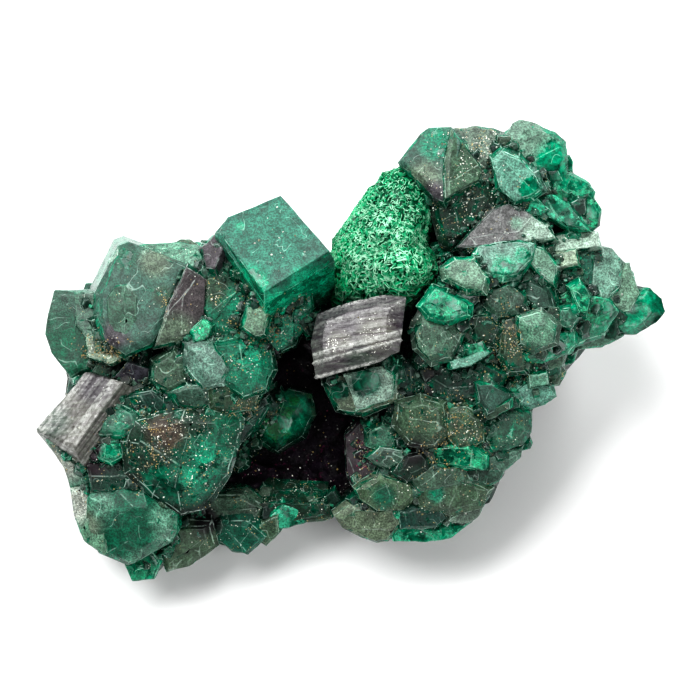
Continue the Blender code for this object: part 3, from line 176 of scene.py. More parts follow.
RIGHT_BLOCKS = (
    ("top_block", ((39.7, 16.3), (42.0, 13.4), (42.8, 12.8), (45.1, 12.7), (46.2, 14.4), (45.4, 17.6),
                   (44.3, 20.3), (43.2, 19.7), (41.6, 17.9)),
     3.5, (0.3, -0.2), (1.0, -1.0, -7.0), 0.2),
    ("top_facet", ((45.0, 12.9), (46.4, 14.3), (48.3, 17.0), (47.9, 18.2), (45.7, 19.2), (44.4, 20.0),
                   (44.4, 16.5)),
     4.1, (-0.2, -0.2), (0.0, -1.0, -7.0), 0.2),
    ("top_crumb", ((45.3, 12.9), (47.6, 12.6), (49.3, 12.8), (50.8, 13.5), (50.2, 15.4), (48.4, 16.8),
                   (46.4, 15.2)),
     2.6, (0.0, -0.35), (0.0, -1.5, -7.0), 0.3),
    ("white_slab", ((49.1, 16.0), (50.1, 15.1), (51.8, 15.8), (53.3, 17.3), (54.2, 19.0), (53.0, 19.8),
                    (51.4, 20.2), (49.8, 18.8)),
     4.7, (-0.1, -0.3), (0.5, 0.5, -6.0), 0.15),
    ("crown", ((50.5, 13.6), (51.2, 12.4), (52.0, 12.0), (53.9, 12.5), (55.5, 13.2), (56.6, 14.2),
               (56.8, 16.0), (56.1, 18.0), (54.0, 18.2), (51.4, 16.2)),
     2.6, (-0.12, -0.25), (-1.0, -2.0, -7.0), 0.5),
    ("crown_side", ((56.2, 15.6), (57.0, 15.5), (57.4, 16.2), (57.3, 17.3), (56.3, 17.6)),
     0.9, (-0.3, 0.0), (-1.5, -1.0, -4.0), 0.1),
    ("crown_low", ((54.6, 17.4), (57.2, 17.3), (59.0, 18.2), (59.6, 19.2), (59.3, 20.0), (57.4, 20.8),
                   (55.0, 19.8)),
     2.0, (-0.25, -0.2), (-1.5, -1.0, -6.0), 0.3),
    ("crown_tip", ((57.4, 20.0), (59.3, 19.6), (60.2, 21.0), (60.0, 22.6), (58.8, 23.2), (57.2, 22.2)),
     1.6, (-0.25, 0.0), (-1.5, -0.5, -5.5), 0.2),
    ("mint_wedge", ((53.4, 19.9), (55.0, 19.3), (56.8, 20.4), (58.7, 23.0), (56.6, 22.8), (54.5, 21.6)),
     3.6, (-0.1, -0.5), (0.0, 0.0, -6.0), 0.1),
    ("teal_bit", ((52.0, 20.4), (53.5, 19.8), (54.8, 21.0), (54.0, 22.2), (52.4, 21.6)),
     3.9, (0.0, 0.0), (0.0, 0.0, -6.0), 0.1),
    ("grey_flat", ((45.6, 24.8), (49.3, 20.9), (50.8, 20.5), (52.6, 21.3), (54.5, 22.6), (55.4, 23.9),
                   (51.8, 24.3), (47.9, 24.8)),
     4.7, (0.05, -0.3), (0.0, -1.0, -7.0), 0.1),
    ("ledge", ((53.2, 23.9), (57.0, 23.3), (59.8, 23.2), (59.9, 24.6), (56.5, 25.1), (53.5, 25.0)),
     3.4, (-0.1, -0.7), (-1.0, -1.0, -6.0), 0.1),
    ("druse_hollow", ((43.4, 19.6), (45.8, 18.9), (48.3, 18.0), (49.7, 19.6), (48.6, 21.6), (45.6, 24.8),
                      (44.2, 24.4), (43.5, 21.6)),
     3.3, (0.05, -0.1), (0.0, 0.0, -7.0), 0.4),
    ("white_face", ((47.4, 25.6), (47.9, 24.6), (51.8, 24.0), (53.3, 24.4), (53.0, 25.9), (51.6, 27.4),
                    (50.2, 27.7), (48.2, 27.2)),
     6.2, (0.0, -0.35), (0.0, -1.5, -7.0), 0.2),
    ("pale_left", ((44.1, 26.8), (45.5, 26.0), (47.2, 26.0), (48.5, 27.7), (48.2, 29.1), (46.5, 28.9),
                   (44.6, 27.9)),
     6.8, (0.1, -0.2), (0.5, -1.0, -7.0), 0.2),
    ("long_prism", ((53.2, 24.6), (54.3, 25.0), (55.6, 26.6), (55.3, 28.6), (54.0, 27.6), (52.9, 26.4)),
     5.6, (-0.3, -0.2), (0.0, 0.0, -7.0), 0.15),
    ("sparkly_cube", ((55.3, 25.2), (57.4, 25.0), (57.7, 26.6), (55.8, 26.9)),
     4.4, (0.0, 0.0), (0.0, 0.0, -6.0), 0.15),
    ("deep_green", ((55.4, 26.4), (57.6, 25.6), (59.2, 25.2), (59.6, 28.4), (58.8, 31.2), (56.8, 31.8),
                    (55.2, 29.4)),
     3.0, (0.0, 0.0), (-1.0, 0.0, -7.0), 0.3),
    ("arm_upper", ((59.0, 24.9), (59.9, 24.6), (61.3, 24.8), (62.3, 26.2), (62.0, 28.6), (60.4, 30.2),
                   (58.8, 29.0)),
     2.5, (-0.15, -0.2), (-3.0, -1.0, -5.0), 0.35),
    ("arm_outer", ((61.2, 26.3), (63.0, 26.3), (63.3, 27.8), (64.0, 29.2), (63.0, 31.0), (61.0, 31.2),
                   (60.4, 29.0)),
     1.7, (-0.2, -0.1), (-3.5, -1.0, -4.5), 0.3),
    ("arm_tip", ((60.6, 32.3), (61.4, 31.0), (63.9, 29.1), (65.0, 28.8), (66.2, 29.9), (66.5, 31.1),
                 (65.6, 32.3), (63.6, 33.4), (61.0, 33.6)),
     1.1, (-0.15, 0.1), (-4.0, 0.5, -4.0), 0.6),
    ("arm_under", ((57.6, 33.6), (61.4, 33.2), (62.4, 33.6), (60.2, 34.8), (58.0, 34.9)),
     1.2, (0.0, 0.3), (-2.0, 1.0, -4.0), 0.2),
    ("arm_middle", ((58.6, 29.6), (60.8, 29.8), (61.8, 31.2), (60.4, 33.4), (57.6, 34.4), (57.0, 33.0),
                    (57.6, 31.2)),
     3.2, (-0.2, 0.1), (-2.0, 0.0, -6.0), 0.3),
    ("leaf_blade", ((56.9, 28.8), (57.9, 28.2), (58.9, 29.6), (58.6, 31.4), (57.8, 31.2)),
     5.0, (-0.1, -0.2), (-0.5, 0.0, -4.0), 0.1),
    ("ring_knob", ((55.8, 30.9), (57.0, 30.8), (57.7, 31.8), (56.9, 32.8), (55.8, 32.4)),
     5.3, (0.0, 0.0), (0.0, 0.0, -5.0), 0.25),
    ("druse_block", ((51.8, 31.8), (54.0, 31.2), (55.6, 32.6), (55.3, 34.2), (53.4, 35.0), (52.0, 34.3)),
     6.6, (0.0, 0.05), (0.0, 0.0, -7.0), 0.45),
    ("emerald_slab", ((52.2, 35.4), (55.5, 33.8), (57.2, 32.9), (57.5, 34.5), (56.7, 35.4), (54.2, 36.3),
                      (52.6, 36.2)),
     4.6, (-0.1, 0.2), (-1.0, 1.0, -6.0), 0.25),
    ("slab_rim", ((52.4, 36.5), (56.6, 35.4), (56.0, 36.6), (53.6, 37.4)),
     3.6, (0.0, 0.2), (-1.0, 1.0, -5.0), 0.1),
    ("hex_grey", ((41.3, 32.8), (42.2, 31.0), (45.4, 31.7), (46.1, 33.4), (44.9, 35.7), (43.1, 36.2),
                  (41.6, 34.8)),
     7.2, (0.0, -0.05), (0.0, 0.0, -8.0), 0.5),
    ("teal_tip", ((42.0, 30.7), (43.3, 28.8), (44.6, 29.3), (46.7, 30.5), (46.6, 31.5), (44.6, 32.2),
                  (42.8, 31.8)),
     7.6, (0.0, -0.35), (0.5, 0.0, -8.0), 0.2),
    ("blade", ((44.9, 36.2), (48.7, 34.9), (48.9, 35.4), (47.0, 36.5), (45.1, 37.0)),
     6.3, (0.0, -0.4), (0.0, 1.0, -5.0), 0.08),
    ("teal_under", ((45.3, 35.6), (46.4, 34.2), (48.2, 33.9), (48.6, 35.0), (46.4, 36.0)),
     5.5, (0.0, 0.0), (0.0, 0.0, -6.0), 0.1),
    ("heart", ((44.6, 28.6), (48.6, 27.4), (52.8, 26.6), (55.4, 29.0), (56.4, 32.4), (52.1, 34.7),
               (48.0, 34.5), (45.2, 32.0)),
     4.6, (0.0, 0.0), (0.0, 0.0, -9.0), 0.6),
    ("heart_upper", ((48.5, 29.0), (50.8, 28.4), (52.4, 29.6), (51.8, 31.4), (49.6, 31.8), (48.2, 30.6)),
     5.8, (0.2, -0.1), (0.0, 0.0, -6.0), 0.3),
    ("heart_lower", ((46.6, 31.6), (48.8, 31.4), (50.2, 33.0), (49.5, 34.9), (47.2, 34.3)),
     5.8, (-0.1, 0.1), (0.0, 0.0, -6.0), 0.3),
    ("heart_right", ((52.6, 27.6), (54.8, 28.8), (55.4, 30.8), (53.8, 31.2), (52.4, 29.8)),
     5.4, (-0.1, 0.0), (0.0, 0.0, -6.0), 0.25),
    ("sparkle_column", ((50.2, 32.2), (51.6, 31.6), (52.2, 34.0), (52.4, 37.0), (50.8, 37.2), (49.9, 35.4)),
     5.4, (0.0, 0.0), (0.0, 0.0, -7.0), 0.3),
    ("dark_druse", ((41.0, 36.3), (45.0, 36.6), (49.0, 36.4), (50.6, 37.4), (48.6, 40.2), (44.6, 40.8),
                    (41.2, 39.8)),
     4.5, (0.0, 0.0), (0.0, 0.0, -8.0), 0.4),
    ("blue_wedge", ((47.6, 38.4), (49.1, 38.3), (50.9, 39.4), (50.7, 40.4), (48.6, 41.4), (47.9, 40.2)),
     6.0, (-0.1, -0.1), (0.0, 0.0, -7.0), 0.2),
    ("wedge_facet", ((48.2, 41.3), (50.8, 40.1), (50.9, 40.9), (48.6, 42.0)),
     5.8, (0.0, 0.5), (0.0, 0.5, -6.0), 0.08),
    ("side_slab", ((50.9, 39.3), (52.6, 38.2), (55.3, 38.5), (55.6, 39.7), (54.5, 40.5), (53.0, 40.9),
                   (51.0, 40.6)),
     3.7, (-0.15, 0.1), (-2.0, 1.0, -5.0), 0.25),
    ("side_cube", ((52.8, 37.5), (54.6, 37.3), (54.7, 38.4), (53.0, 38.8)),
     4.5, (0.0, 0.0), (-1.0, 0.5, -5.0), 0.1),
    ("side_knob", ((54.4, 36.7), (56.2, 36.4), (56.6, 37.3), (56.0, 38.6), (54.6, 38.7)),
     2.7, (-0.2, 0.0), (-2.0, 0.5, -4.0), 0.2),
    ("round_side", ((50.6, 40.8), (53.0, 41.0), (53.2, 41.8), (53.1, 43.3), (52.2, 44.6), (49.3, 45.2),
                    (48.6, 43.9), (49.0, 42.2)),
     4.2, (-0.2, 0.15), (-2.0, 1.0, -6.0), 0.45),
    ("bead", ((52.2, 44.2), (53.0, 43.5), (53.3, 44.2), (53.0, 44.9), (52.3, 45.0)),
     2.0, (-0.2, 0.2), (-2.0, 0.5, -3.0), 0.2),
    ("round_low", ((48.6, 45.6), (52.2, 44.7), (52.1, 45.7), (50.3, 47.2), (48.8, 47.2)),
     3.4, (-0.1, 0.3), (-1.0, 1.5, -5.0), 0.2),
    ("green_band", ((43.2, 44.7), (47.0, 44.5), (48.7, 45.5), (48.5, 47.0), (46.3, 46.8), (43.5, 46.3)),
     4.3, (0.0, 0.2), (0.0, 1.5, -6.0), 0.2),
    ("band_low", ((46.8, 47.0), (50.4, 46.9), (50.0, 48.1), (48.6, 48.8), (46.4, 48.9)),
     2.9, (0.0, 0.3), (0.0, 1.5, -5.0), 0.2),
    ("band_middle", ((43.0, 46.4), (46.6, 46.8), (47.2, 48.4), (44.4, 49.0), (42.0, 49.2), (41.2, 48.0)),
     3.6, (0.0, 0.2), (0.0, 1.5, -6.0), 0.25),
    ("grey_barrel", ((39.8, 40.4), (42.0, 39.8), (44.3, 40.4), (44.6, 43.0), (43.4, 44.5), (41.0, 44.2),
                     (39.6, 42.5)),
     5.6, (0.0, 0.1), (0.0, 0.5, -7.0), 0.5),
    ("gold_druse", ((44.2, 40.8), (46.6, 40.6), (48.2, 41.8), (48.4, 44.2), (45.8, 44.8), (44.4, 43.4)),
     5.0, (0.0, 0.1), (0.0, 0.5, -7.0), 0.3),
    ("low_left", ((36.6, 45.8), (38.0, 44.7), (40.1, 45.0), (40.4, 46.1), (38.4, 46.9)),
     3.6, (0.1, 0.1), (1.0, 1.0, -5.0), 0.15),
    ("low_dome", ((39.2, 47.3), (40.4, 45.4), (42.3, 45.0), (43.2, 46.0), (43.0, 47.2), (40.7, 48.1)),
     4.1, (0.0, 0.1), (0.5, 1.0, -6.0), 0.4),
    ("blue_step", ((36.6, 43.2), (38.2, 42.4), (40.2, 43.0), (40.2, 44.8), (38.0, 45.1), (36.6, 44.6)),
     3.2, (0.1, 0.0), (1.0, 1.0, -5.0), 0.2),
    ("low_band", ((35.6, 48.9), (38.0, 47.4), (40.9, 48.2), (41.8, 49.5), (40.2, 51.0), (37.7, 51.0),
                  (36.0, 49.9)),
     2.9, (0.0, 0.2), (0.5, 1.5, -5.0), 0.3),
    ("foot_keel", ((33.3, 51.5), (35.0, 50.4), (39.4, 50.6), (40.3, 52.2), (38.9, 54.1), (37.6, 54.3),
                   (36.5, 54.0), (34.2, 52.8)),
     1.3, (0.1, 0.2), (1.5, 2.0, -4.0), 0.3),
    ("foot_dark", ((39.8, 51.2), (41.5, 50.6), (44.0, 50.6), (44.8, 51.8), (43.4, 52.9), (40.0, 52.9)),
     2.1, (0.0, 0.2), (0.0, 2.0, -5.0), 0.2),
    ("foot_brown", ((41.6, 49.0), (44.3, 48.3), (47.0, 48.2), (48.9, 49.0), (48.3, 50.8), (45.0, 51.6),
                    (42.0, 50.8)),
     3.0, (0.0, 0.15), (0.0, 1.5, -6.0), 0.35),
    ("foot_side", ((46.2, 50.2), (48.5, 49.9), (48.1, 51.5), (46.9, 52.4), (44.8, 52.2)),
     1.9, (-0.1, 0.2), (-1.0, 1.5, -4.0), 0.15),
    ("foot_rim", ((39.0, 52.9), (44.2, 52.7), (47.2, 52.2), (45.2, 53.8), (42.6, 54.2), (39.4, 54.2)),
     0.9, (0.0, 0.35), (0.0, 2.2, -3.0), 0.1),
    ("foot_bead", ((42.7, 53.1), (44.2, 52.9), (44.2, 53.9), (43.4, 54.1)),
     1.0, (0.0, 0.3), (0.0, 1.0, -2.0), 0.1),
    ("box_crystal", ((32.4, 38.0), (35.8, 36.8), (39.8, 35.8), (39.6, 40.0), (36.2, 41.3), (33.8, 40.9)),
     4.6, (0.05, 0.05), (0.5, 0.0, -6.0), 0.2),
    ("box_frame", ((34.4, 37.4), (39.4, 36.3), (39.2, 39.8), (35.6, 41.0)),
     5.2, (0.05, 0.05), (0.3, 0.0, -5.0), 0.15),
    ("box_shoulder", ((39.2, 36.4), (41.4, 36.0), (41.6, 39.8), (40.0, 41.6), (38.8, 41.2)),
     3.9, (0.0, 0.0), (0.5, 0.0, -6.0), 0.2),
    ("hollow_margin", ((34.4, 43.6), (36.8, 41.0), (38.0, 44.0), (37.2, 48.6), (35.6, 49.6), (34.6, 47.6)),
     1.4, (0.4, 0.0), (1.5, 0.5, -4.0), 0.2),
)

HOLLOW_BLOCK = ("hollow_block", ((26.2, 40.5), (28.8, 39.4), (30.7, 39.8), (31.2, 41.6), (30.1, 43.7),
                                 (27.7, 45.2), (26.1, 44.0), (25.4, 42.1)),
                -2.6, (-0.15, 0.2), (0.4, 0.8, -5.0), 0.8)

STRIATED_PRISM = ("striated_prism", ((31.7, 31.5), (35.0, 30.4), (38.6, 29.6), (40.6, 29.8), (40.3, 32.2),
                                     (39.9, 35.2), (36.7, 36.5), (31.6, 37.9), (31.1, 34.4)),
                  8.2, (0.1, -0.12), (0.0, 0.3, -6.5), 0.7)

# Small crystals over the sides and the back, where none is drawn on the card. Their places lean away
# from the viewer by this much of a unit direction, and stay above the floor height.
LEFT_SIDE_CRYSTALS = 23
RIGHT_SIDE_CRYSTALS = 26
SIDE_WIDTH = (2.6, 4.8)
SIDE_LENGTH = (4.0, 6.0)
SIDE_LEAN = (0.45, 0.9)
SIDE_END_SLOPE = 1.1
SIDE_END_DROP = 0.12
SIDE_STRAY = 0.4
SIDE_FLOOR = 3.5

# How finely each kind of lump is faceted, and how uneven it is.
CRUST = (2, 0.16)
BALL = (2, 0.05)

# Colours are linear red, green and blue. Each look is the colour of the film of grains over a crystal,
# how brightly its inside glows where the film is open, a painted light that also sets how much light
# passes through, how much of it the film covers, and how many glittering specks lie on it, grains
# whose white ones are also painted glints. The colours of the ridged looks multiply those of the
# striated crystals.
LOOKS = {
    "rhomb": ((0.026, 0.155, 0.105), 1.35, 0.9, 0.03),
    # Painted light: a wall of the great rhomb that lies in shade, painted as brightly lit.
    "beam": ((0.0, 0.42, 0.24), 1.9, 0.9, 0.1),
    "sea": ((0.125, 0.228, 0.17), 0.9, 0.66, 0.1),
    "jade": ((0.001, 0.10, 0.055), 0.5, 0.7, 0.4),
    "lime": ((0.0, 0.2, 0.115), 0.7, 0.5, 0.5),
    "emerald": ((0.028, 0.11, 0.07), 0.7, 0.5, 0.3),
    "deep": ((0.006, 0.038, 0.026), 0.35, 0.5, 0.3),
    "bright": ((0.015, 0.28, 0.155), 1.0, 0.38, 0.06),
    "window": ((0.0, 0.075, 0.038), 0.4, 0.75, 0.04),
    "vivid": ((0.0, 0.17, 0.045), 1.1, 0.42, 0.02),
    "bottle": ((0.03, 0.082, 0.056), 0.6, 0.66, 0.15),
    "grey": ((0.048, 0.1, 0.066), 0.6, 0.62, 0.3),
    "olive": ((0.052, 0.094, 0.052), 0.4, 0.64, 0.3),
    "stone": ((0.09, 0.13, 0.09), 0.4, 0.7, 0.2),
    "pale": ((0.09, 0.21, 0.15), 0.7, 0.62, 0.2),
    "mint": ((0.33, 0.46, 0.385), 0.6, 0.9, 0.1),
    "ridged": ((1.0, 1.0, 1.0), 0.0, 1.0, 0.1),
    "ridged_plum": ((0.6, 0.52, 0.62), 0.0, 1.0, 0.2),
    "ridged_green": ((0.62, 0.8, 0.7), 0.0, 1.0, 0.1),
    "ridged_sparkling": ((1.25, 1.2, 1.1), 0.0, 1.0, 1.0),
    "plum": ((0.055, 0.05, 0.058), 0.3, 0.8, 0.3),
    "wine": ((0.012, 0.004, 0.009), 0.1, 0.85, 0.4),
    "teal": ((0.002, 0.026, 0.012), 0.34, 0.5, 0.6),
    "druse": ((0.03, 0.068, 0.04), 0.5, 0.55, 0.8),
    "sparkle": ((0.11, 0.155, 0.115), 0.4, 0.65, 0.9),
    "mauve": ((0.118, 0.12, 0.117), 0.2, 0.9, 0.1),
    # Painted light: tips and a spot painted as glowing with light through them.
    "glow": ((0.0, 0.30, 0.17), 1.0, 0.1, 0.03),
    "pool": ((0.0, 0.07, 0.045), 0.55, 0.1, 0.1),
    "rosy": ((0.06, 0.045, 0.032), 0.3, 0.55, 1.0),
    "frost": ((0.24, 0.34, 0.275), 0.6, 0.85, 0.1),
    "silver": ((0.30, 0.33, 0.29), 0.2, 0.8, 0.6),
    # Painted shade: near-black for gaps that lie in shade.
    "black": ((0.0012, 0.0012, 0.002), 0.0, 1.0, 0.05),
}
# Patches of another look on some crystals: the middle of each on the card, how far it reaches, and its
# look. Those of "fillers" lie on the small crystals in the hollows. Patches of "glow" and "beam" are
# painted light, on tips, a bright spot and walls in shade; those of "black" are painted shade in dark gaps.
LOOK_ZONES = {
    "great_mass": (((21.6, 47.6), 5.0, "lime"), ((23.2, 43.0), 2.6, "jade"), ((16.2, 48.6), 2.4, "pool"),
                   ((16.6, 43.2), 2.4, "rosy")),
    "left_block": (((6.6, 36.4), 6.2, "window"), ((8.9, 31.0), 1.6, "plum")),
    "great_rhomb": (((24.1, 22.7), 0.5, "glow"), ((25.0, 28.6), 2.4, "glow"), ((31.2, 29.2), 3.0, "beam"),
                    ((27.6, 30.6), 2.0, "beam")),
    "plate_right": (((17.6, 33.6), 2.8, "stone"),),
    "grey_flat": (((54.0, 23.6), 2.6, "frost"), ((51.6, 22.4), 0.8, "sea")),
    "crown": (((56.2, 16.6), 3.4, "glow"),),
    "top_block": (((43.6, 14.4), 2.0, "lime"), ((42.4, 18.0), 2.4, "stone"), ((43.4, 19.4), 1.6, "plum")),
    "plate_left": (((12.6, 25.8), 1.6, "emerald"), ((16.4, 29.6), 1.3, "druse"),
                   ((11.6, 33.6), 1.8, "plum"), ((15.6, 26.2), 2.0, "stone")),
    "box_frame": (((36.6, 38.2), 1.9, "pool"),),
    "box_crystal": (((33.9, 39.0), 1.2, "pool"),),
    "white_face": (((50.3, 26.9), 1.5, "bright"), ((52.2, 25.6), 1.0, "bright")),
    "hex_window": (((8.2, 52.6), 2.6, "stone"), ((17.2, 51.6), 2.6, "pale"), ((14.4, 57.2), 2.8, "pale"),
                   ((17.2, 53.6), 2.2, "pale"), ((10.2, 50.4), 1.6, "pale")),
    "shelf_dark": (((25.0, 35.8), 2.4, "lime"),),
    "rhomb_collar": (((21.6, 29.0), 2.2, "druse"), ((24.6, 30.6), 2.6, "lime")),
    "rhomb_foot": (((28.6, 31.6), 5.0, "lime"),),
    "white_slab": (((53.0, 19.0), 1.3, "glow"),),
    "arm_tip": (((64.6, 31.0), 3.0, "glow"),),
    "foot_brown": (((43.6, 49.4), 1.0, "lime"),),
    "low_band": (((38.4, 49.6), 1.5, "jade"),),
    "hollow_block": (((30.2, 42.6), 1.6, "glow"),),
    "clear_chip": (((9.4, 44.8), 1.4, "wine"),),
    "striated_block": (((5.0, 42.0), 2.6, "ridged_green"), ((9.6, 38.6), 2.4, "ridged_plum")),
    "mass_foot": (((9.4, 46.4), 1.8, "wine"),),
    "block_under": (((9.2, 44.8), 1.4, "wine"), ((6.6, 46.0), 2.6, "silver")),
    "window_rim": (((7.6, 50.4), 2.4, "silver"),),
    # Painted shade: near-black patches where these crystals lie in dark gaps.
    "low_dome": (((41.4, 45.4), 1.5, "black"),),
    "grey_barrel": (((41.6, 44.9), 1.2, "black"),),
    "rim_sparkly": (((20.6, 51.8), 1.7, "black"),),
    "foot_grey": (((20.6, 52.2), 1.8, "black"),),
    "fillers": (((41.6, 45.4), 1.6, "black"), ((20.6, 52.0), 2.2, "black"), ((9.8, 45.6), 1.8, "wine"),
                ((12.6, 36.8), 2.2, "black"), ((40.2, 33.4), 1.8, "black"), ((43.2, 38.0), 1.8, "black"),
                ((27.6, 34.8), 1.6, "wine"), ((52.0, 39.0), 1.5, "druse"), ((37.0, 45.0), 2.2, "wine")),
}
LOOK_GROUPS = {
    "rhomb": ("great_rhomb",),
    "sea": ("white_face", "pale_left", "long_prism", "arm_upper", "arm_outer", "crown", "shelf_round",
            "pale_cube"),
    "jade": ("rhomb_foot", "rhomb_collar", "shelf_dark", "deep_green", "foot_teal"),
    "deep": ("block_back", "step_upper", "hollow_lip", "heart", "dark_druse", "box_shoulder", "foot_dark",
             "mass_foot"),
    "bright": ("teal_prism", "clear_chip", "foot_green", "rim_green", "crown_side", "crown_tip",
               "mint_wedge", "teal_bit", "arm_tip", "arm_middle", "leaf_blade", "emerald_slab",
               "teal_under", "green_band", "foot_rim", "foot_bead", "teal_tip", "crown_low"),
    "window": ("hex_window",),
    "vivid": ("hollow_block",),
    "bottle": ("plate_left", "plate_hillock", "left_block", "top_block", "blue_wedge", "band_low",
               "heart_right"),
    "grey": ("top_facet", "top_knob", "block_shoulder", "shelf_pale", "shelf_low", "foot_edge",
             "rim_sparkly", "slab_rim", "hex_grey", "heart_upper", "wedge_facet",
             "band_middle", "round_low", "low_left"),
    "olive": ("foot_grey", "grey_barrel", "low_band", "foot_brown"),
    "stone": ("foot_keel", "foot_side", "box_crystal"),
    "pale": ("back_slab", "block_under", "white_slab", "arm_under", "druse_block",
             "side_cube", "side_slab", "blade", "window_rim"),
    "frost": ("box_frame", "sparkly_cube", "plate_side"),
    "wine": ("hollow_margin",),
    "mint": ("ledge",),
    "ridged": ("striated_block",),
    "plum": ("plate_right", "gap_facet", "rhomb_flank"),
    "teal": ("druse_hollow", "great_mass", "heart_lower", "low_dome", "rim_bar"),
    "druse": ("shelf_gold", "rim_gold", "sparkle_column", "side_knob", "gold_druse"),
    "sparkle": ("tan_wedge", "top_crumb"),
    "mauve": ("grey_flat",),
}
LOOK_OF = {name: look for look, names in LOOK_GROUPS.items() for name in names}

# How the front face of a drawn crystal differs from its outline, as in the solids.
STRAY_TILT = 0.14
EDGE_SPREAD = 1.9
EDGE_STEEPNESS = 0.75
SMALLEST_FACE = 0.5
ASIDE_SHARE = 0.85
FIRST_INSET = 0.01

# Growth steps: one for each so many square millimetres of front face, how many at most, how pale their
# walls are painted, as worn and as a painted highlight, and how high.
STEP_AREA = 6.0
MOST_STEPS = 2
STEP_WEAR_AND_HIGHLIGHT = 0.5
STEP_RISE = (0.04, 0.12)

# How far a crystal widens below its rim, and from what depth on.
FLARE = 0.5
FLARE_DEPTH = 1.1

# The longest edges of the meshes: of the drawn crystals, the fillers, the crust, ridged crystals, and
# whatever lies more than FINE_DEPTH below the middle of a crystal's face.
MESH_STEP = 0.56
FILLER_STEP = 0.6
CRUST_STEP = 1.0
RIB_STEP = 0.24
DEEP_STEP = 2.5
FINE_DEPTH = 1.8

# Waves over the faces, edges that stray sideways, and chips along the edges. The straight crystals have
# neither stray edges nor growth steps, and their edges are less pale with wear and painted highlight.
UNEVEN = 0.04
RAGGED = 0.12
CHIP_DEPTH = 0.22
STRAIGHT = ("great_rhomb", "left_block", "plate_left", "hex_window", "striated_block", "top_block")
STRAIGHT_WEAR_AND_HIGHLIGHT = 0.45

# Every edge has a narrow face, painted pale as worn and as a painted highlight along the edge. Those round
# the front face and down from its corners, found within SOFT_REACH of these edges, are this much pale, the
# others wholly.
WEAR_AND_HIGHLIGHT_EDGE = (0.04, 0.085)
SOFT_WEAR_AND_HIGHLIGHT = 0.22
SOFT_REACH = 0.12

# Walls keep this share of the film, front faces this share of the glow, so the walls are painted brighter
# than the front faces, a painted light. Below its rim a crystal is painted darker, a painted shade, from
# one depth on, over another, to a least share.
WALL_FILM = 0.4
FRONT_GLOW = 0.7
SHADE_FROM = 0.1
SHADE_OVER = 1.2
SHADE_LEAST = 0.025

CRUST_LOOK = ((0.006, 0.02, 0.014), 0.05, 0.7, 0.6)
SIDE_LOOKS = ("emerald", "emerald", "grey", "deep", "sea", "bright")

# The striated block's ridges: their direction, height, distance, and the band across it that has them.
STRIATED_BLOCK_RIBS = ((0.6, 0.8), 0.14, 0.32, (-100, 100))
# The striated prism: the direction of its ridges, the band across it where they are high, the places of
# three narrow ones, patches of other looks, and the turn of the streaks on it and on the block.
PRISM_ALONG = (0.965, 0.26)
PRISM_BAND = (-1.9, 0.6)
PRISM_RIDGES = (-0.35, -1.75, 4.4)
PRISM_ZONES = (((33.6, 31.6), 3.6, "ridged_plum"), ((37.6, 30.6), 2.6, "ridged_plum"),
               ((39.7, 32.0), 1.6, "ridged_plum"), ((37.6, 33.2), 2.4, "ridged_sparkling"),
               ((34.0, 34.2), 1.6, "ridged_sparkling"), ((36.0, 36.2), 2.0, "ridged_green"))
PRISM_TURN = -0.26
BLOCK_TURN = -0.93

# Between the lumps of the malachite, and at its foot, these make one even ball of them.
MALACHITE_FILL = (
    ((39.2, 22.4), -0.8, (4.1, 4.6, 5.2)),
    ((37.4, 25.4), -0.4, (4.5, 4.6, 5.4)),
    ((34.6, 29.2), -1.4, (1.9, 2.2, 4.0)),
)
# Malachite crests are low curved walls: how many places are tried, and their sizes in millimetres.
CRESTS = 9000
CREST_SECTIONS = 3
CREST_SIZE = (0.11, 0.23)
CREST_THICK = 0.058
# MALACHITE_DEEP is painted shade under and between the blades, MALACHITE_MINT painted highlights on their
# tops.
MALACHITE_DEEP = (0.0, 0.1, 0.045, 1.0)
MALACHITE_GREEN = (0.0, 0.27, 0.118)
MALACHITE_MINT = (0.37, 0.70, 0.49, 1.0)
# The middle of the ball, and how far it reaches from there.
BALL_MIDDLE = (38.2, 24.6, 0.0)
BALL_REACH = 7.0

# Colours of the inside, the film, the specks, the worn and painted-highlight edges, the striated crystals
# and the matrix.
INSIDE_DARK = (0.0001, 0.012, 0.008, 1.0)
INSIDE_BRIGHT = (0.0, 0.40, 0.22, 1.0)
FILM_PLUM = (0.07, 0.05, 0.062, 1.0)
# The white specks are grains and also painted glints.
SPECK_WHITE = (0.86, 0.88, 0.80, 1.0)
SPECK_GOLD = (0.50, 0.36, 0.13, 1.0)
# The pale of worn edges, which also stands for painted highlights along them.
WEAR_AND_HIGHLIGHT_TONE = (0.58, 0.72, 0.65, 1.0)
PRISM_DARK = (0.058, 0.051, 0.057, 1.0)
PRISM_GREY = (0.095, 0.1, 0.091, 1.0)
BLOCK_DARK = (0.083, 0.083, 0.081, 1.0)
BLOCK_GREY = (0.125, 0.136, 0.123, 1.0)
# PRISM_WHITE: the sparkle of the striated crystals' ridges, painted highlights and sheen.
PRISM_WHITE = (0.43, 0.44, 0.415, 1.0)
# The matrix's near-black is partly its own colour and partly painted shade of the deep hollow it lines.
ROCK_BLACK = (0.0015, 0.0006, 0.002, 1.0)
ROCK_PURPLE = (0.012, 0.004, 0.014, 1.0)
ROCK_ROSE = (0.10, 0.012, 0.05, 1.0)
ROCK_FLECK = (0.35, 0.32, 0.30, 1.0)
GRAIN_SHADE = (0.05, 0.04, 0.03, 1.0)
ROCK_VOXEL = 0.38

# Fillers, small crystals and grains: how many rays look for a place, and sizes in millimetres. Fillers
# grow where a place lies this far below those around it, and stand apart by a share of their widths.
HOLLOW_REACH = 0.9
FILLER_TRIES = 12000
FILLER_WIDTH = (1.1, 2.8)
FILLER_HOLLOW = 0.3
FILLER_DEEPEST = 2.0
FILLER_SPACING = 0.34
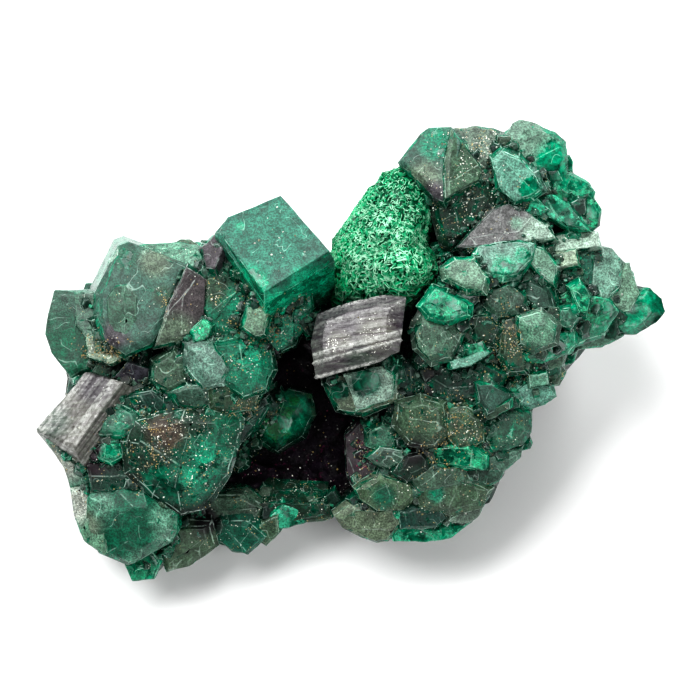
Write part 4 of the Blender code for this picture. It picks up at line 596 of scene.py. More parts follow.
# Each filler is painted darker by a random share in this range, a painted shade for the hollows.
FILLER_PAINTED_SHADE = (0.3, 0.95)
# No fillers or small crystals grow here: the middle of each place on the card and how far it reaches.
BARE_PLACES = (((36.6, 38.6), 3.0), ((13.0, 52.6), 3.8), ((23.6, 49.4), 2.4), ((7.0, 34.6), 2.4))
FILLER_LOOKS = ("emerald", "deep", "deep", "jade", "grey", "bright", "bottle", "grey", "jade")
DRUSE_TRIES = 12000
DRUSE_SIZE = (0.2, 0.6)
# Small crystals are painted this much darker, a painted shade for the hollows most of them lie in.
DRUSE_TONE = 0.65
SIDE_DRUSE = 1500
SIDE_DRUSE_SIZE = (0.4, 1.1)
DRUSE_LOOKS = ("emerald", "grey", "deep", "sea", "bright", "pale")
GRAIN_SIZE = (0.06, 0.15)
GOLD = (0.40, 0.30, 0.13)
TAN = (0.30, 0.27, 0.17)
WHITE = (0.78, 0.80, 0.72)
ROSE = (0.22, 0.03, 0.09)
ROCK_GRAINS = (GOLD, WHITE, WHITE, ROSE)
# Clouds of grains: middle and spread on the card, rays, colours, and how many also lie on high places.
GRAIN_ZONES = (
    (((35.0, 35.0), (33.0, 24.0)), 3000, (TAN, WHITE, WHITE), 0.15),
    (((17.0, 44.5), (6.5, 5.0)), 500, (TAN, GOLD, WHITE), 0.3),
    (((15.6, 46.0), (1.6, 1.2)), 70, (GOLD, TAN), 0.6),
    (((25.4, 41.0), (2.2, 0.8)), 110, (GOLD, TAN), 0.6),
    (((35.8, 45.6), (1.6, 2.6)), 160, (GOLD, TAN, ROSE), 0.8),
    (((44.5, 43.0), (5.5, 4.5)), 700, (GOLD, TAN), 0.4),
    (((47.0, 18.0), (5.0, 6.0)), 600, (TAN, WHITE, WHITE), 0.3),
    (((26.5, 33.0), (4.0, 4.5)), 400, (TAN, GOLD), 0.3),
    (((51.0, 34.0), (2.5, 4.0)), 400, (GOLD, TAN), 0.4),
    (((10.5, 35.2), (2.5, 1.5)), 250, (TAN, GOLD), 0.8),
)
ROCK_GRAIN_ZONES = ((((29.5, 43.5), (9.0, 9.0)), 160), (((33.0, 50.0), (3.0, 2.0)), 140))

# In card millimetres, higher than everything: where rays towards the card start.
RAY_START = 30.0

LENS = 500.0
SENSOR = 36.0
WORLD_STRENGTH = 0.06
FLOOR_HALF = 1.5
# The lights: name, place and size in metres, and power.
LIGHTS = (
    ("key", (-0.45, 0.35, 0.8), 0.85, 12.5),
    ("back", (0.35, 0.8, 0.45), 0.6, 5.5),
    ("fill", (0.5, -0.5, 0.7), 0.6, 4.5),
)
AIM = Vector((0, 0, 0.01))

STAND = (Matrix.Translation((0, 0, CARD_HEIGHT * MM)) @ Matrix.Rotation(CARD_RISE, 4, "X")
         @ Matrix.Scale(MM, 4))


def card_point(x, y, depth):
    """The millimetre coordinates of a point given on the card."""
    return Vector((x - CARD_MIDDLE, CARD_MIDDLE - y, depth))


def block_shape(row):
    """A crystal's plain solid, the same as in the part, and its front face."""
    name, outline, depth, rise, back, edge = row
    draw = random.Random(name)
    middle = sum((Vector(point) for point in outline), Vector((0, 0))) / len(outline)
    radius = sum((Vector(point) - middle).length for point in outline) / len(outline)
    tilt = [slope + draw.uniform(-STRAY_TILT, STRAY_TILT) for slope in rise]
    share = max(1.0 - EDGE_SPREAD * edge / radius, SMALLEST_FACE)
    nearest = draw.choice(outline)
    aside = (Vector(nearest) - middle) * draw.uniform(0.0, ASIDE_SHARE) * (1.0 - share)
    shape = bmesh.new()
    corners = []
    for x, y in outline:
        height = depth + tilt[0] * (x - middle.x) + tilt[1] * (middle.y - y)
        corners.append(shape.verts.new(card_point(x, y, height) + Vector(back)))
    rear = shape.faces.new(corners)
    drawn = bmesh.ops.extrude_face_region(shape, geom=[rear])["geom"]
    front_corners = [part for part in drawn if isinstance(part, bmesh.types.BMVert)]
    front = [part for part in drawn if isinstance(part, bmesh.types.BMFace)]
    step = EDGE_STEEPNESS * (1.0 - share) * radius
    bmesh.ops.translate(shape, verts=front_corners, vec=-Vector(back) - Vector((0, 0, step)))
    bmesh.ops.recalc_face_normals(shape, faces=shape.faces)
    bmesh.ops.inset_region(shape, faces=front, thickness=FIRST_INSET, depth=0.0)
    centre = front[0].calc_center_median()
    for vert in front[0].verts:
        vert.co = centre + share * (vert.co - centre) + Vector((aside.x, -aside.y, step))
    return shape, front[0]


def add_steps(shape, draw):
    """Growth steps on the front face: beyond a line along one of its edges it stands a little higher."""
    wear_and_highlight = shape.faces.layers.float["wear_and_highlight"]
    shape.normal_update()
    front = max(shape.faces, key=lambda face: face.calc_area() * max(0.0, face.normal.z))
    levels = min(MOST_STEPS, int(front.calc_area() / STEP_AREA))
    for level in range(levels):
        normal = front.normal.copy()
        side = draw.choice(list(front.edges))
        along = (side.verts[1].co - side.verts[0].co).normalized()
        across = normal.cross(along) * draw.choice((-1, 1))
        reach = 0.3 * math.sqrt(front.calc_area())
        place = front.calc_center_median() + draw.uniform(-reach, reach) * across
        cut = bmesh.ops.bisect_plane(shape, geom=[front, *front.edges, *front.verts],
                                     plane_co=place, plane_no=across)
        halves = [part for part in cut["geom"] if isinstance(part, bmesh.types.BMFace)]
        upper = [face for face in halves if (face.calc_center_median() - place).dot(across) > 0]
        if len(halves) < 2 or not upper:
            continue
        before = set(shape.faces)
        raised = bmesh.ops.extrude_face_region(shape, geom=upper)["geom"]
        lift = draw.uniform(*STEP_RISE)
        for part in raised:
            if isinstance(part, bmesh.types.BMVert):
                near = abs((part.co - place).dot(across)) < 0.001
                part.co += lift * normal + (1.5 * lift * across if near else Vector())
        shape.normal_update()
        tops = [part for part in raised if isinstance(part, bmesh.types.BMFace)]
        # The walls of the step are painted pale, as wear and as a painted highlight.
        for face in set(shape.faces) - before - set(tops):
            face[wear_and_highlight] = STEP_WEAR_AND_HIGHLIGHT
        lower = [face for face in halves if face.is_valid and face not in upper]
        front = max(tops + lower, key=lambda face: face.calc_area())


def flare_walls(shape, row):
    """Below its rim a crystal widens into its neighbours, but never past the outline of the solids."""
    name, outline, depth, rise, back, edge = row
    middle = sum((card_point(x, y, depth) for x, y in outline), Vector()) / len(outline)
    facing = Vector((-rise[0], -rise[1], 1.0)).normalized()
    below = middle - FLARE_DEPTH * facing
    bmesh.ops.bisect_plane(shape, geom=[*shape.verts, *shape.edges, *shape.faces],
                           plane_co=below, plane_no=facing)
    toward = Vector((0, 0, -1))
    for vert in shape.verts:
        if (vert.co - below).dot(facing) > 0.001:
            continue
        outward = vert.co - middle
        outward.z = 0.0
        outward.normalize()
        outside = vert.co + (FLARE + 0.4) * outward
        if SOLIDS_TREE.ray_cast(Vector((outside.x, outside.y, RAY_START)), toward)[0] is not None:
            vert.co += FLARE * outward


def refine(shape, step, floor=-100.0):
    """Cut every face into triangles with edges not much longer than step, but coarser below the floor."""
    bmesh.ops.triangulate(shape, faces=shape.faces)
    for turn in range(6):
        longest = []
        for edge in shape.edges:
            top = max(edge.verts[0].co.z, edge.verts[1].co.z)
            if edge.calc_length() > (step if top > floor else DEEP_STEP):
                longest.append(edge)
        if not longest:
            break
        bmesh.ops.subdivide_edges(shape, edges=longest, cuts=1)
        wide = [face for face in shape.faces if len(face.verts) > 3]
        bmesh.ops.triangulate(shape, faces=wide)


def roughen(shape, uneven, chips, seed, ragged=0.0):
    """Slight waviness over the faces, small chips along the edges, and edges that stray sideways."""
    wear_and_highlight = shape.faces.layers.float["wear_and_highlight"]
    shape.normal_update()
    offset = Vector((seed % 17, seed % 29, seed % 41))
    moves = []
    for vert in shape.verts:
        spot = vert.co + offset
        move = uneven * noise.noise(0.8 * spot) + 0.5 * uneven * noise.noise(2.7 * spot)
        if any(face[wear_and_highlight] > 0.6 for face in vert.link_faces):
            move -= chips * max(0.0, noise.noise(1.9 * spot) - 0.18)
            move -= 0.5 * chips * max(0.0, noise.noise(5.1 * spot) - 0.25)
        moves.append(move * vert.normal + ragged * noise.noise_vector(0.75 * spot))
    for vert, move in zip(shape.verts, moves):
        vert.co += move


def mix_zones(rows, corners, zones):
    """Blend the looks of some zones into the values of the face corners that lie in them."""
    for (x, y), reach, look in zones:
        colour, glow, film, dust_and_glints = LOOKS[look]
        away = np.hypot(corners[:, :, 0] + CARD_MIDDLE - x, corners[:, :, 1] - CARD_MIDDLE + y)
        share = np.clip(2.0 * (1.0 - away / reach), 0.0, 1.0)[:, :, None]
        goal = rows.copy()
        goal[:, :, :5] = (*colour, glow, film)
        goal[:, :, 6] = dust_and_glints
        rows += share * (goal - rows)


class Gathered:
    """Vertices, faces and face values of many small shapes that become one mesh."""

    def __init__(self):
        self.points = []
        self.faces = []
        self.values = []
        self.count = 0

    def add_shape(self, shape, look, zones=(), rim=None):
        """Add a shape with a look. Walls keep less of the film and more of the glow, a painted light, and
        below a rim the shape is painted darker with depth, a painted shade.
        """
        colour, glow, film, dust_and_glints = look
        wear_and_highlight = shape.faces.layers.float["wear_and_highlight"]
        shape.normal_update()
        shape.verts.index_update()
        self.points.append(np.array([vert.co for vert in shape.verts], float))
        faces = np.array([[vert.index for vert in face.verts] for face in shape.faces])
        self.faces.append(faces + self.count)
        self.count += len(shape.verts)
        facing = np.clip([(face.normal.z - 0.45) / 0.3 for face in shape.faces], 0.0, 1.0)[:, None]
        rows = np.empty((len(faces), 3, 7))
        rows[:, :, :5] = (*colour, glow, film)
        rows[:, :, 5] = np.array([face[wear_and_highlight] for face in shape.faces])[:, None]
        rows[:, :, 6] = dust_and_glints
        mix_zones(rows, self.points[-1][faces], zones)
        if rim is not None:
            # Painted shade: darker with the depth below the rim.
            depth = rim - self.points[-1][faces][:, :, 2]
            rows[:, :, :4] *= np.clip(1.0 - (depth - SHADE_FROM) / SHADE_OVER, SHADE_LEAST, 1.0)[:, :, None]
        # Painted light: the walls keep more of the inside's glow than the front faces.
        rows[:, :, 3] *= 1.0 + (FRONT_GLOW - 1.0) * facing
        rows[:, :, 4] *= WALL_FILM + (1.0 - WALL_FILM) * facing
        self.values.append(rows)
        shape.free()

    def add_copies(self, points, faces, colours, glow, film, wear_and_highlight):
        """Add many copies of one small shape: points is copies by corners by 3."""
        copies, corners = points.shape[:2]
        self.points.append(points.reshape(-1, 3))
        starts = self.count + corners * np.arange(copies)
        self.faces.append((faces[None] + starts[:, None, None]).reshape(-1, 3))
        self.count += copies * corners
        rows = np.empty((copies * len(faces), 3, 7))
        rows[:, :, :3] = np.repeat(colours, len(faces), axis=0)[:, None, :]
        rows[:, :, 3] = glow
        rows[:, :, 4] = film
        rows[:, :, 5] = np.broadcast_to(wear_and_highlight, len(rows))[:, None]
        rows[:, :, 6] = 0.0
        self.values.append(rows)

    def tree(self):
        """For finding where a ray meets the gathered shapes."""
        return BVHTree.FromPolygons(np.vstack(self.points).tolist(), np.vstack(self.faces).tolist())

    def piece(self, name, material, slot, nodes=(), crease=25.0):
        """One object of everything gathered, placed where the solids are."""
        points = np.vstack(self.points)
        faces = np.vstack(self.faces)
        values = np.concatenate(self.values).reshape(-1, 7)
        mesh = bpy.data.meshes.new(name)
        mesh.from_pydata(points.tolist(), [], faces.tolist())
        colour = mesh.attributes.new("tone", "FLOAT_COLOR", "CORNER")
        colour.data.foreach_set("color", np.c_[values[:, :3], np.ones(len(values))].ravel())
        for column, label in ((3, "glow"), (4, "film"), (5, "wear_and_highlight"), (6, "dust_and_glints")):
            layer = mesh.attributes.new(label, "FLOAT", "CORNER")
            layer.data.foreach_set("value", values[:, column].astype(np.float32))
        mesh.transform(PLACE)
        mesh.shade_smooth()
        mesh.set_sharp_from_angle(angle=math.radians(crease))
        mesh.materials.append(material)
        thing = bpy.data.objects.new(name, mesh)
        bpy.context.scene.collection.objects.link(thing)
        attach(thing, "root")
        if nodes:
            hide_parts(*nodes)
        return thing


def joined_tree(parts):
    """One ray tree over several gathered parts."""
    points = np.vstack([np.vstack(part.points) for part in parts])
    starts = np.cumsum([0] + [part.count for part in parts])
    faces = np.vstack([np.vstack(part.faces) + start for part, start in zip(parts, starts)])
    return BVHTree.FromPolygons(points.tolist(), faces.tolist())


def vary(colour, draw, amount=0.18):
    """A colour made a little lighter or darker and a little warmer or colder."""
    light = 1.0 + draw.uniform(-amount, amount)
    warm = 0.5 * draw.uniform(-amount, amount)
    return (colour[0] * light * (1.0 + warm), colour[1] * light, colour[2] * light * (1.0 - warm))


def mark_worn(shape, draw, soft=()):
    """Bevel the edges a little and mark the narrow new faces to be painted pale, as worn and as painted
    highlights, but less so along the soft lines.
    """
    wear_and_highlight = shape.faces.layers.float.new("wear_and_highlight")
    made = bmesh.ops.bevel(shape, geom=list(shape.edges), offset=draw.uniform(*WEAR_AND_HIGHLIGHT_EDGE), segments=1,
                           affect="EDGES", clamp_overlap=True)
    for face in made["faces"]:
        centre = face.calc_center_median()
        face[wear_and_highlight] = 1.0
        for ends in soft:
            spot, share = intersect_point_line(centre, *ends)
            if -0.1 < share < 1.1 and (spot - centre).length < SOFT_REACH:
                face[wear_and_highlight] = SOFT_WEAR_AND_HIGHLIGHT


def gather_block(row, gathered, ribs=None, look=None, shade=1.0):
    """A drawn crystal with worn edges, growth steps and an uneven surface.

    A ridged crystal has the values of its ribs, and a filler has a look and a painted shade of its own."""
    draw = random.Random(row[0] + "_looks")
    shape, front = block_shape(row)
    # The rim below which a crystal is painted darker, a painted shade; the straight crystals have none.
    rim = None if row[0] in STRAIGHT else min(vert.co.z for vert in front.verts) - 0.2
    soft = [[end.co.copy() for end in edge.verts] for vert in front.verts for edge in vert.link_edges]
    flare_walls(shape, row)
    mark_worn(shape, draw, soft)
    if ribs is None and row[0] not in STRAIGHT:
        add_steps(shape, draw)
    step = MESH_STEP if look is None else FILLER_STEP
    refine(shape, step if ribs is None else RIB_STEP, row[2] - FINE_DEPTH)
    roughen(shape, UNEVEN, CHIP_DEPTH, draw.randrange(1000), 0.0 if row[0] in STRAIGHT else RAGGED)
    if ribs is not None:
        add_ribs(shape, *ribs)
    if row[0] in STRAIGHT and ribs is None:
        wear_and_highlight = shape.faces.layers.float["wear_and_highlight"]
        for face in shape.faces:
            face[wear_and_highlight] *= STRAIGHT_WEAR_AND_HIGHLIGHT
    colour, glow, film, dust_and_glints = LOOKS[look or LOOK_OF.get(row[0], "emerald")]
    colour = [shade * part for part in colour]
    glow = shade * glow
    zones = LOOK_ZONES.get(row[0] if look is None else "fillers", ())
    gathered.add_shape(shape, (vary(colour, draw), glow, film, dust_and_glints), zones, rim)


def add_ribs(shape, along, height, pitch, band):
    """Ridges along a crystal, high inside a band across it and low outside; their crests are painted pale,
    as worn and as painted highlights.
    """
    wear_and_highlight = shape.faces.layers.float["wear_and_highlight"]
    shape.normal_update()
    across = Vector((-along[1], along[0], 0)).normalized()
    moves = []
    crests = {}
    for vert in shape.verts:
        place = vert.co.dot(across)
        drift = 0.25 * noise.noise(Vector((vert.co.dot(Vector((*along, 0))) * 0.12, place * 0.9, 3.0)))
        wave = noise.noise(Vector((place / pitch + drift, 7.3, 1.7)))
        fine = noise.noise(Vector((place / (0.4 * pitch) + drift, 2.3, 9.7)))
        facing = max(0.0, vert.normal.z) ** 0.5
        low, high = band
        inside = 1.0 if low < place < high else 0.3
        moves.append(vert.normal * height * facing * inside * (wave + 0.5 * fine))
        crests[vert] = max(0.0, min(1.0, 2.5 * inside * (wave + 0.6 * fine)))
    for vert, move in zip(shape.verts, moves):
        vert.co += move
    for face in shape.faces:
        face[wear_and_highlight] = max(crests[vert] for vert in face.verts)


def add_ridges(shape, along, ridges, height, width):
    """Narrow straight ridges along a crystal, with crests painted pale as worn and as painted highlights,
    at given places across it.
    """
    wear_and_highlight = shape.faces.layers.float["wear_and_highlight"]
    shape.normal_update()
    across = Vector((-along[1], along[0], 0)).normalized()
    crests = {}
    for vert in shape.verts:
        place = vert.co.dot(across) + 0.05 * noise.noise(0.6 * vert.co)
        near = max(math.exp(-((place - ridge) / width) ** 2) for ridge in ridges)
        crests[vert] = near * (vert.normal.z > 0.2)
    for vert, near in crests.items():
        vert.co += height * near * vert.normal
    for face in shape.faces:
        face[wear_and_highlight] = max(face[wear_and_highlight], *(crests[vert] for vert in face.verts))


def lump_shape(row, kind, step, lift=0.0):
    """A rounded lump, as in the solids, but finely divided and rough."""
    facets, unevenness = kind
    (x, y), depth, half_sizes = row
    shape = bmesh.new()
    bmesh.ops.create_icosphere(shape, subdivisions=facets, radius=1.0)
    for vert in shape.verts:
        uneven = 1.0 + unevenness * noise.noise(2.3 * vert.co + Vector((x, y, depth)))
        vert.co = card_point(x, y, depth) + vert.co * Vector((uneven * size + lift for size in half_sizes))
    shape.faces.layers.float.new("wear_and_highlight")
    refine(shape, step)
    return shape


def cut_below(shape, height):
    """Take away what lies below a height above the surface that the specimen rests on."""
    ground = STAND.inverted() @ Vector((0, 0, height * MM))
    up = (STAND.inverted().to_3x3() @ Vector((0, 0, 1))).normalized()
    bmesh.ops.bisect_plane(shape, geom=[*shape.verts, *shape.edges, *shape.faces],
                           plane_co=ground, plane_no=-up, clear_outer=True)
    rim = [edge for edge in shape.edges if edge.is_boundary]
    bmesh.ops.holes_fill(shape, edges=rim)
    bmesh.ops.triangulate(shape, faces=[face for face in shape.faces if len(face.verts) > 3])


def gather_crust(lumps, gathered):
    """The crust that the crystals grow from: coarse lumps with a drusy surface."""
    for row in lumps:
        shape = lump_shape(row, CRUST, CRUST_STEP)
        roughen(shape, 0.25, 0.0, 5)
        cut_below(shape, CRUST_FOOT)
        gathered.add_shape(shape, CRUST_LOOK)


def inside_lump(place, lump, reach=1.0):
    """Whether a point in card millimetres lies inside a lump."""
    (x, y), depth, half_sizes = lump
    away = place - card_point(x, y, depth)
    return sum((away[axis] / half_sizes[axis]) ** 2 for axis in range(3)) < reach


def find_side_place(draw, lumps):
    """A bare place on the far side of the crust: its point and the direction that it faces."""
    while True:
        lump = draw.choice(lumps)
        (x, y), depth, half_sizes = lump
        turn = draw.uniform(0, 2 * math.pi)
        lean = -draw.uniform(*SIDE_LEAN)
        flat = math.sqrt(1 - lean * lean)
        outward = Vector((flat * math.cos(turn), flat * math.sin(turn), lean))
        place = card_point(x, y, depth) + outward * Vector(half_sizes)
        covered = any(inside_lump(place, other) for other in lumps if other is not lump)
        if not covered and (STAND @ place).z > SIDE_FLOOR * MM:
            return place, outward


def hexagonal_crystal(width, length, slope, drop):
    """A short six-sided crystal with a three-faced end, standing on the origin along Z."""
    shape = bmesh.new()
    bmesh.ops.create_cone(shape, cap_ends=True, segments=6, radius1=width / 2, radius2=width / 2,
                          depth=length)
    for third in range(3):
        around = third * 2 * math.pi / 3
        normal = Vector((math.cos(around), math.sin(around), slope)).normalized()
        cut_at = Vector((0, 0, length / 2 - drop * width))
        cut = bmesh.ops.bisect_plane(shape, geom=[*shape.verts, *shape.edges, *shape.faces],
                                     plane_co=cut_at, plane_no=normal, clear_outer=True)
        rim = [part for part in cut["geom_cut"] if isinstance(part, bmesh.types.BMEdge)]
        bmesh.ops.contextual_create(shape, geom=rim)
    bmesh.ops.recalc_face_normals(shape, faces=shape.faces)
    return shape


def gather_side_crystals(name, count, lumps, gathered):
    """The crystals on the sides and the back, drawn in the same order as in the solids."""
    draw = random.Random(name)
    look = random.Random(name + "_looks")
    for turn in range(count):
        place, outward = find_side_place(draw, lumps)
        width = draw.uniform(*SIDE_WIDTH)
        length = draw.uniform(*SIDE_LENGTH)
        shape = hexagonal_crystal(width, length, SIDE_END_SLOPE, SIDE_END_DROP)
        stray = Vector([draw.uniform(-SIDE_STRAY, SIDE_STRAY) for axis in range(3)])
        stance = (outward + stray).normalized().to_track_quat("Z", "Y").to_matrix().to_4x4()
        spin = Matrix.Rotation(draw.uniform(0, math.pi), 4, "Z")
        bmesh.ops.transform(shape, matrix=Matrix.Translation(place) @ stance @ spin, verts=shape.verts)
        mark_worn(shape, look)
        refine(shape, MESH_STEP)
        roughen(shape, UNEVEN, CHIP_DEPTH, look.randrange(1000))
        colour, glow, film, dust_and_glints = LOOKS[look.choice(SIDE_LOOKS)]
        gathered.add_shape(shape, (vary(colour, look), glow, film, dust_and_glints))


def small_template(kind):
    """A tiny crystal as corner and face arrays, about one millimetre across."""
    if kind == "prism":
        shape = hexagonal_crystal(0.8, 1.5, 1.1, 0.05)
    else:
        shape = bmesh.new()
        bmesh.ops.create_cube(shape, size=1.0)
        if kind == "rhomb":
            bmesh.ops.transform(shape, matrix=Matrix.Shear("XY", 4, (0.35, 0.2)), verts=shape.verts)
        bmesh.ops.bevel(shape, geom=list(shape.edges), offset=0.1, segments=1, affect="EDGES")
    bmesh.ops.triangulate(shape, faces=shape.faces)
    shape.verts.index_update()
    points = np.array([vert.co for vert in shape.verts])
    faces = np.array([[vert.index for vert in face.verts] for face in shape.faces])
    shape.free()
    return points, faces


def frames_from(normals, draw):
    """One random frame for each normal, with its third axis along the normal."""
    normals = normals / np.linalg.norm(normals, axis=1, keepdims=True)
    random_directions = draw.normal(size=normals.shape)
    first = np.cross(normals, random_directions)
    first /= np.linalg.norm(first, axis=1, keepdims=True)
    second = np.cross(normals, first)
    return np.stack([first, second, normals], axis=2)


def gather_small(gathered, template, places, normals, sizes, colours, glow, film, wear_and_highlight, draw, lean=0.7):
    """Many tiny crystals at places, each turned and stretched in its own way."""
    points, faces = template
    leaned = normals + lean * draw.normal(size=normals.shape)
    turned = frames_from(leaned, draw)
    stretch = sizes[:, None] * draw.uniform(0.7, 1.3, size=(len(sizes), 3))
    local = points[None] * stretch[:, None, :]
    placed = np.einsum("nij,npj->npi", turned, local) + places[:, None, :]
    gathered.add_copies(placed, faces, colours, glow, film, wear_and_highlight)


def front_hits(tree, draw, count, zone=None):
    """Where rays from the viewer meet the specimen, and how deep each place lies in a hollow.

    A zone is the middle and the spread of a cloud of rays on the card. Places at the outline are left out,
    and without a zone the bare places too."""
    places, normals, hollows = [], [], []
    toward = Vector((0, 0, -1))
    steps = ((HOLLOW_REACH, 0), (-HOLLOW_REACH, 0), (0, HOLLOW_REACH), (0, -HOLLOW_REACH))
    for turn in range(count):
        if zone is None:
            x, y = draw.uniform(3, 67), draw.uniform(11, 59)
            if any(math.hypot(x - mid_x, y - mid_y) < reach for (mid_x, mid_y), reach in BARE_PLACES):
                continue
        else:
            (mid_x, mid_y), (half_x, half_y) = zone
            x, y = mid_x + 0.5 * half_x * draw.normal(), mid_y + 0.5 * half_y * draw.normal()
        place, normal, face, away = tree.ray_cast(card_point(x, y, RAY_START), toward)
        if place is None:
            continue
        around = [tree.ray_cast(card_point(x + across, y + down, RAY_START), toward)[0]
                  for across, down in steps]
        if any(near is None for near in around):
            continue
        places.append(place)
        normals.append(normal)
        hollows.append(sum(near.z for near in around) / 4 - place.z)
    return np.array(places), np.array(normals), np.array(hollows)


def side_hits(tree, draw, count):
    """Where rays from all round and below the card meet the specimen, hidden from the viewer."""
    places, normals = [], []
    for turn in range(count):
        around = draw.uniform(0, 2 * math.pi)
        height = draw.uniform(-0.85, 0.45)
        flat = math.sqrt(1 - height * height)
        outward = Vector((flat * math.cos(around), flat * math.sin(around), height))
        aim = card_point(draw.uniform(12, 60), draw.uniform(20, 50), draw.uniform(-9, 1))
        place, normal, face, away = tree.ray_cast(aim + 60 * outward, -outward)
        if place is None or (STAND @ place).z < 0.6 * MM:
            continue
        above = place + 0.8 * normal + Vector((0, 0, 0.3))
        if tree.ray_cast(above, Vector((0, 0, 1)))[0] is not None:
            places.append(place)
            normals.append(normal)
    return np.array(places), np.array(normals)


def gather_fillers(tree, gathered, draw):
    """Small crystals of the same blocky kind that fill the hollows between the drawn ones."""
    places, normals, depths = front_hits(tree, draw, FILLER_TRIES)
    taken = []
    for place, depth in zip(places, depths):
        depth = min(depth, FILLER_DEEPEST)
        width = draw.uniform(*FILLER_WIDTH) * (0.5 + 0.5 * depth / FILLER_DEEPEST)
        crowded = any(math.hypot(place[0] - other[0], place[1] - other[1]) < FILLER_SPACING * (width + size)
                      for other, size in taken)
        if depth < FILLER_HOLLOW or crowded:
            continue
        taken.append((place, width))
        corners = int(draw.integers(5, 8))
        start = draw.uniform(0, 2 * math.pi)
        outline = []
        for corner in range(corners):
            around = start - 2 * math.pi * (corner + draw.uniform(-0.25, 0.25)) / corners
            far = 0.5 * width * draw.uniform(0.75, 1.2)
            outline.append((CARD_MIDDLE + place[0] + far * math.cos(around),
                            CARD_MIDDLE - place[1] - far * math.sin(around)))
        row = (f"filler_{len(taken)}", outline, place[2] + draw.uniform(0.35, 0.95) * depth,
               tuple(draw.uniform(-0.5, 0.5, size=2)), (0.0, 0.0, -3.0), draw.uniform(0.05, 0.2))
        look = str(draw.choice(FILLER_LOOKS))
        # Fillers lie in hollows, and each is painted darker by a random share, a painted shade.
        gather_block(row, gathered, look=look, shade=draw.uniform(*FILLER_PAINTED_SHADE))


def ribbon_faces(sections):
    """Faces of a low curved wall of four-cornered sections, and how light each is painted: palest on top, a
    painted highlight.
    """
    faces, wear_and_highlight = [], []
    for section in range(sections - 1):
        here, there = 4 * section, 4 * section + 4
        for side, light in ((0, 0.45), (1, 1.0), (2, 0.45)):
            a, b = here + side, here + side + 1
            c, d = there + side + 1, there + side
            faces += [(a, b, c), (a, c, d)]
            wear_and_highlight += [light, light]
    last = 4 * (sections - 1)
    faces += [(0, 2, 1), (0, 3, 2), (last, last + 1, last + 2), (last, last + 2, last + 3)]
    wear_and_highlight += [0.6] * 4
    return np.array(faces), np.array(wear_and_highlight)


def outer_hits(tree, centre, reach, draw, count):
    """Where rays from all directions towards a centre meet a shape."""
    places, normals = [], []
    for turn in range(count):
        outward = Vector(draw.normal(size=3)).normalized()
        stray = Vector(draw.normal(size=3)) * 0.3 * reach
        place, normal, face, away = tree.ray_cast(centre + stray + 3 * reach * outward, -outward)
        if place is not None:
            places.append(place)
            normals.append(normal)
    return np.array(places), np.array(normals)


def gather_malachite(others, draw):
    """The ball: rough lumps under thousands of curved blades in small sheaves."""
    # The lumps under the blades are painted deep, a painted shade in the gaps between the blades.
    under = (MALACHITE_DEEP[:3], 0.0, 0.0, 0.0)
    gathered = Gathered()
    for row in MALACHITE_LUMPS + MALACHITE_FILL:
        shape = lump_shape(row, BALL, 0.45, lift=-0.2)
        roughen(shape, 0.2, 0.0, 11)
        gathered.add_shape(shape, under)
    skin = Gathered()
    for row in MALACHITE_LUMPS + MALACHITE_FILL:
        skin.add_shape(lump_shape(row, BALL, 0.8, lift=-0.17), under)
    places, normals = outer_hits(skin.tree(), card_point(*BALL_MIDDLE), BALL_REACH, draw, CRESTS)
    buried = [others.ray_cast(Vector(place + 0.4 * normal), Vector(normal), 0.9)[0] is not None
              for place, normal in zip(places, normals)]
    keep = ~np.array(buried)
    places, normals = places[keep], normals[keep]
    axes = frames_from(normals, draw)
    along, aside, outward = axes[:, None, :, 0], axes[:, None, :, 1], axes[:, None, :, 2]
    count = len(places)
    low = np.clip((CARD_MIDDLE - places[:, 1] - 22.0) / 7.0, 0, 1)[:, None, None]
    left_rim = np.clip(-2.0 * normals[:, 0] - 0.8, 0, 1)[:, None]
    grown = draw.uniform(*CREST_SIZE, size=(count, 1, 1)) * (1.0 + 1.5 * low ** 2)
    grown *= 1.0 - 0.5 * left_rim[..., None]
    curl = draw.uniform(-0.7, 0.7, size=(count, 1, 1))
    tilt = 0.35 * draw.normal(size=(count, 1, 1))
    step = np.linspace(-1, 1, CREST_SECTIONS)[None, :, None]
    jag = draw.uniform(0.8, 1.15, size=(count, CREST_SECTIONS, 1))
    middle = places[:, None, :] + grown * (step * along + curl * step ** 2 * aside)
    top = middle + grown * ((1.25 - 0.35 * step ** 2) * jag * outward + 0.35 * step * along + tilt * aside)
    side_way = aside - 2 * curl * step * along
    side_way = side_way / np.linalg.norm(side_way, axis=2, keepdims=True)
    half = CREST_THICK * (1.0 + 0.4 * low) * (1.0 - 0.45 * np.abs(step) ** 3)
    corners = np.stack([middle - 1.6 * half * side_way, top - half * side_way, top + half * side_way,
                        middle + 1.6 * half * side_way], axis=2)
    faces, wear_and_highlight = ribbon_faces(CREST_SECTIONS)
    # Each blade is painted lighter or darker at random, and lighter along the left rim, a painted sheen.
    light = draw.uniform(0.55, 1.4, size=(count, 1)) * (1.0 + 0.7 * left_rim)
    gathered.add_copies(corners.reshape(count, -1, 3), faces, np.array(MALACHITE_GREEN) * light, 0.0, 0.0,
                        np.tile(wear_and_highlight, count))
    return gathered


def gather_prism():
    """The striated prism: ridges along its length, deepest in a bright band."""
    gathered = Gathered()
    shape, front = block_shape(STRIATED_PRISM)
    mark_worn(shape, random.Random("prism"))
    refine(shape, RIB_STEP)
    roughen(shape, UNEVEN, CHIP_DEPTH, 31)
    add_ribs(shape, PRISM_ALONG, 0.16, 0.6, PRISM_BAND)
    add_ridges(shape, PRISM_ALONG, PRISM_RIDGES, 0.2, 0.14)
    gathered.add_shape(shape, LOOKS["ridged"], PRISM_ZONES)
    return gathered


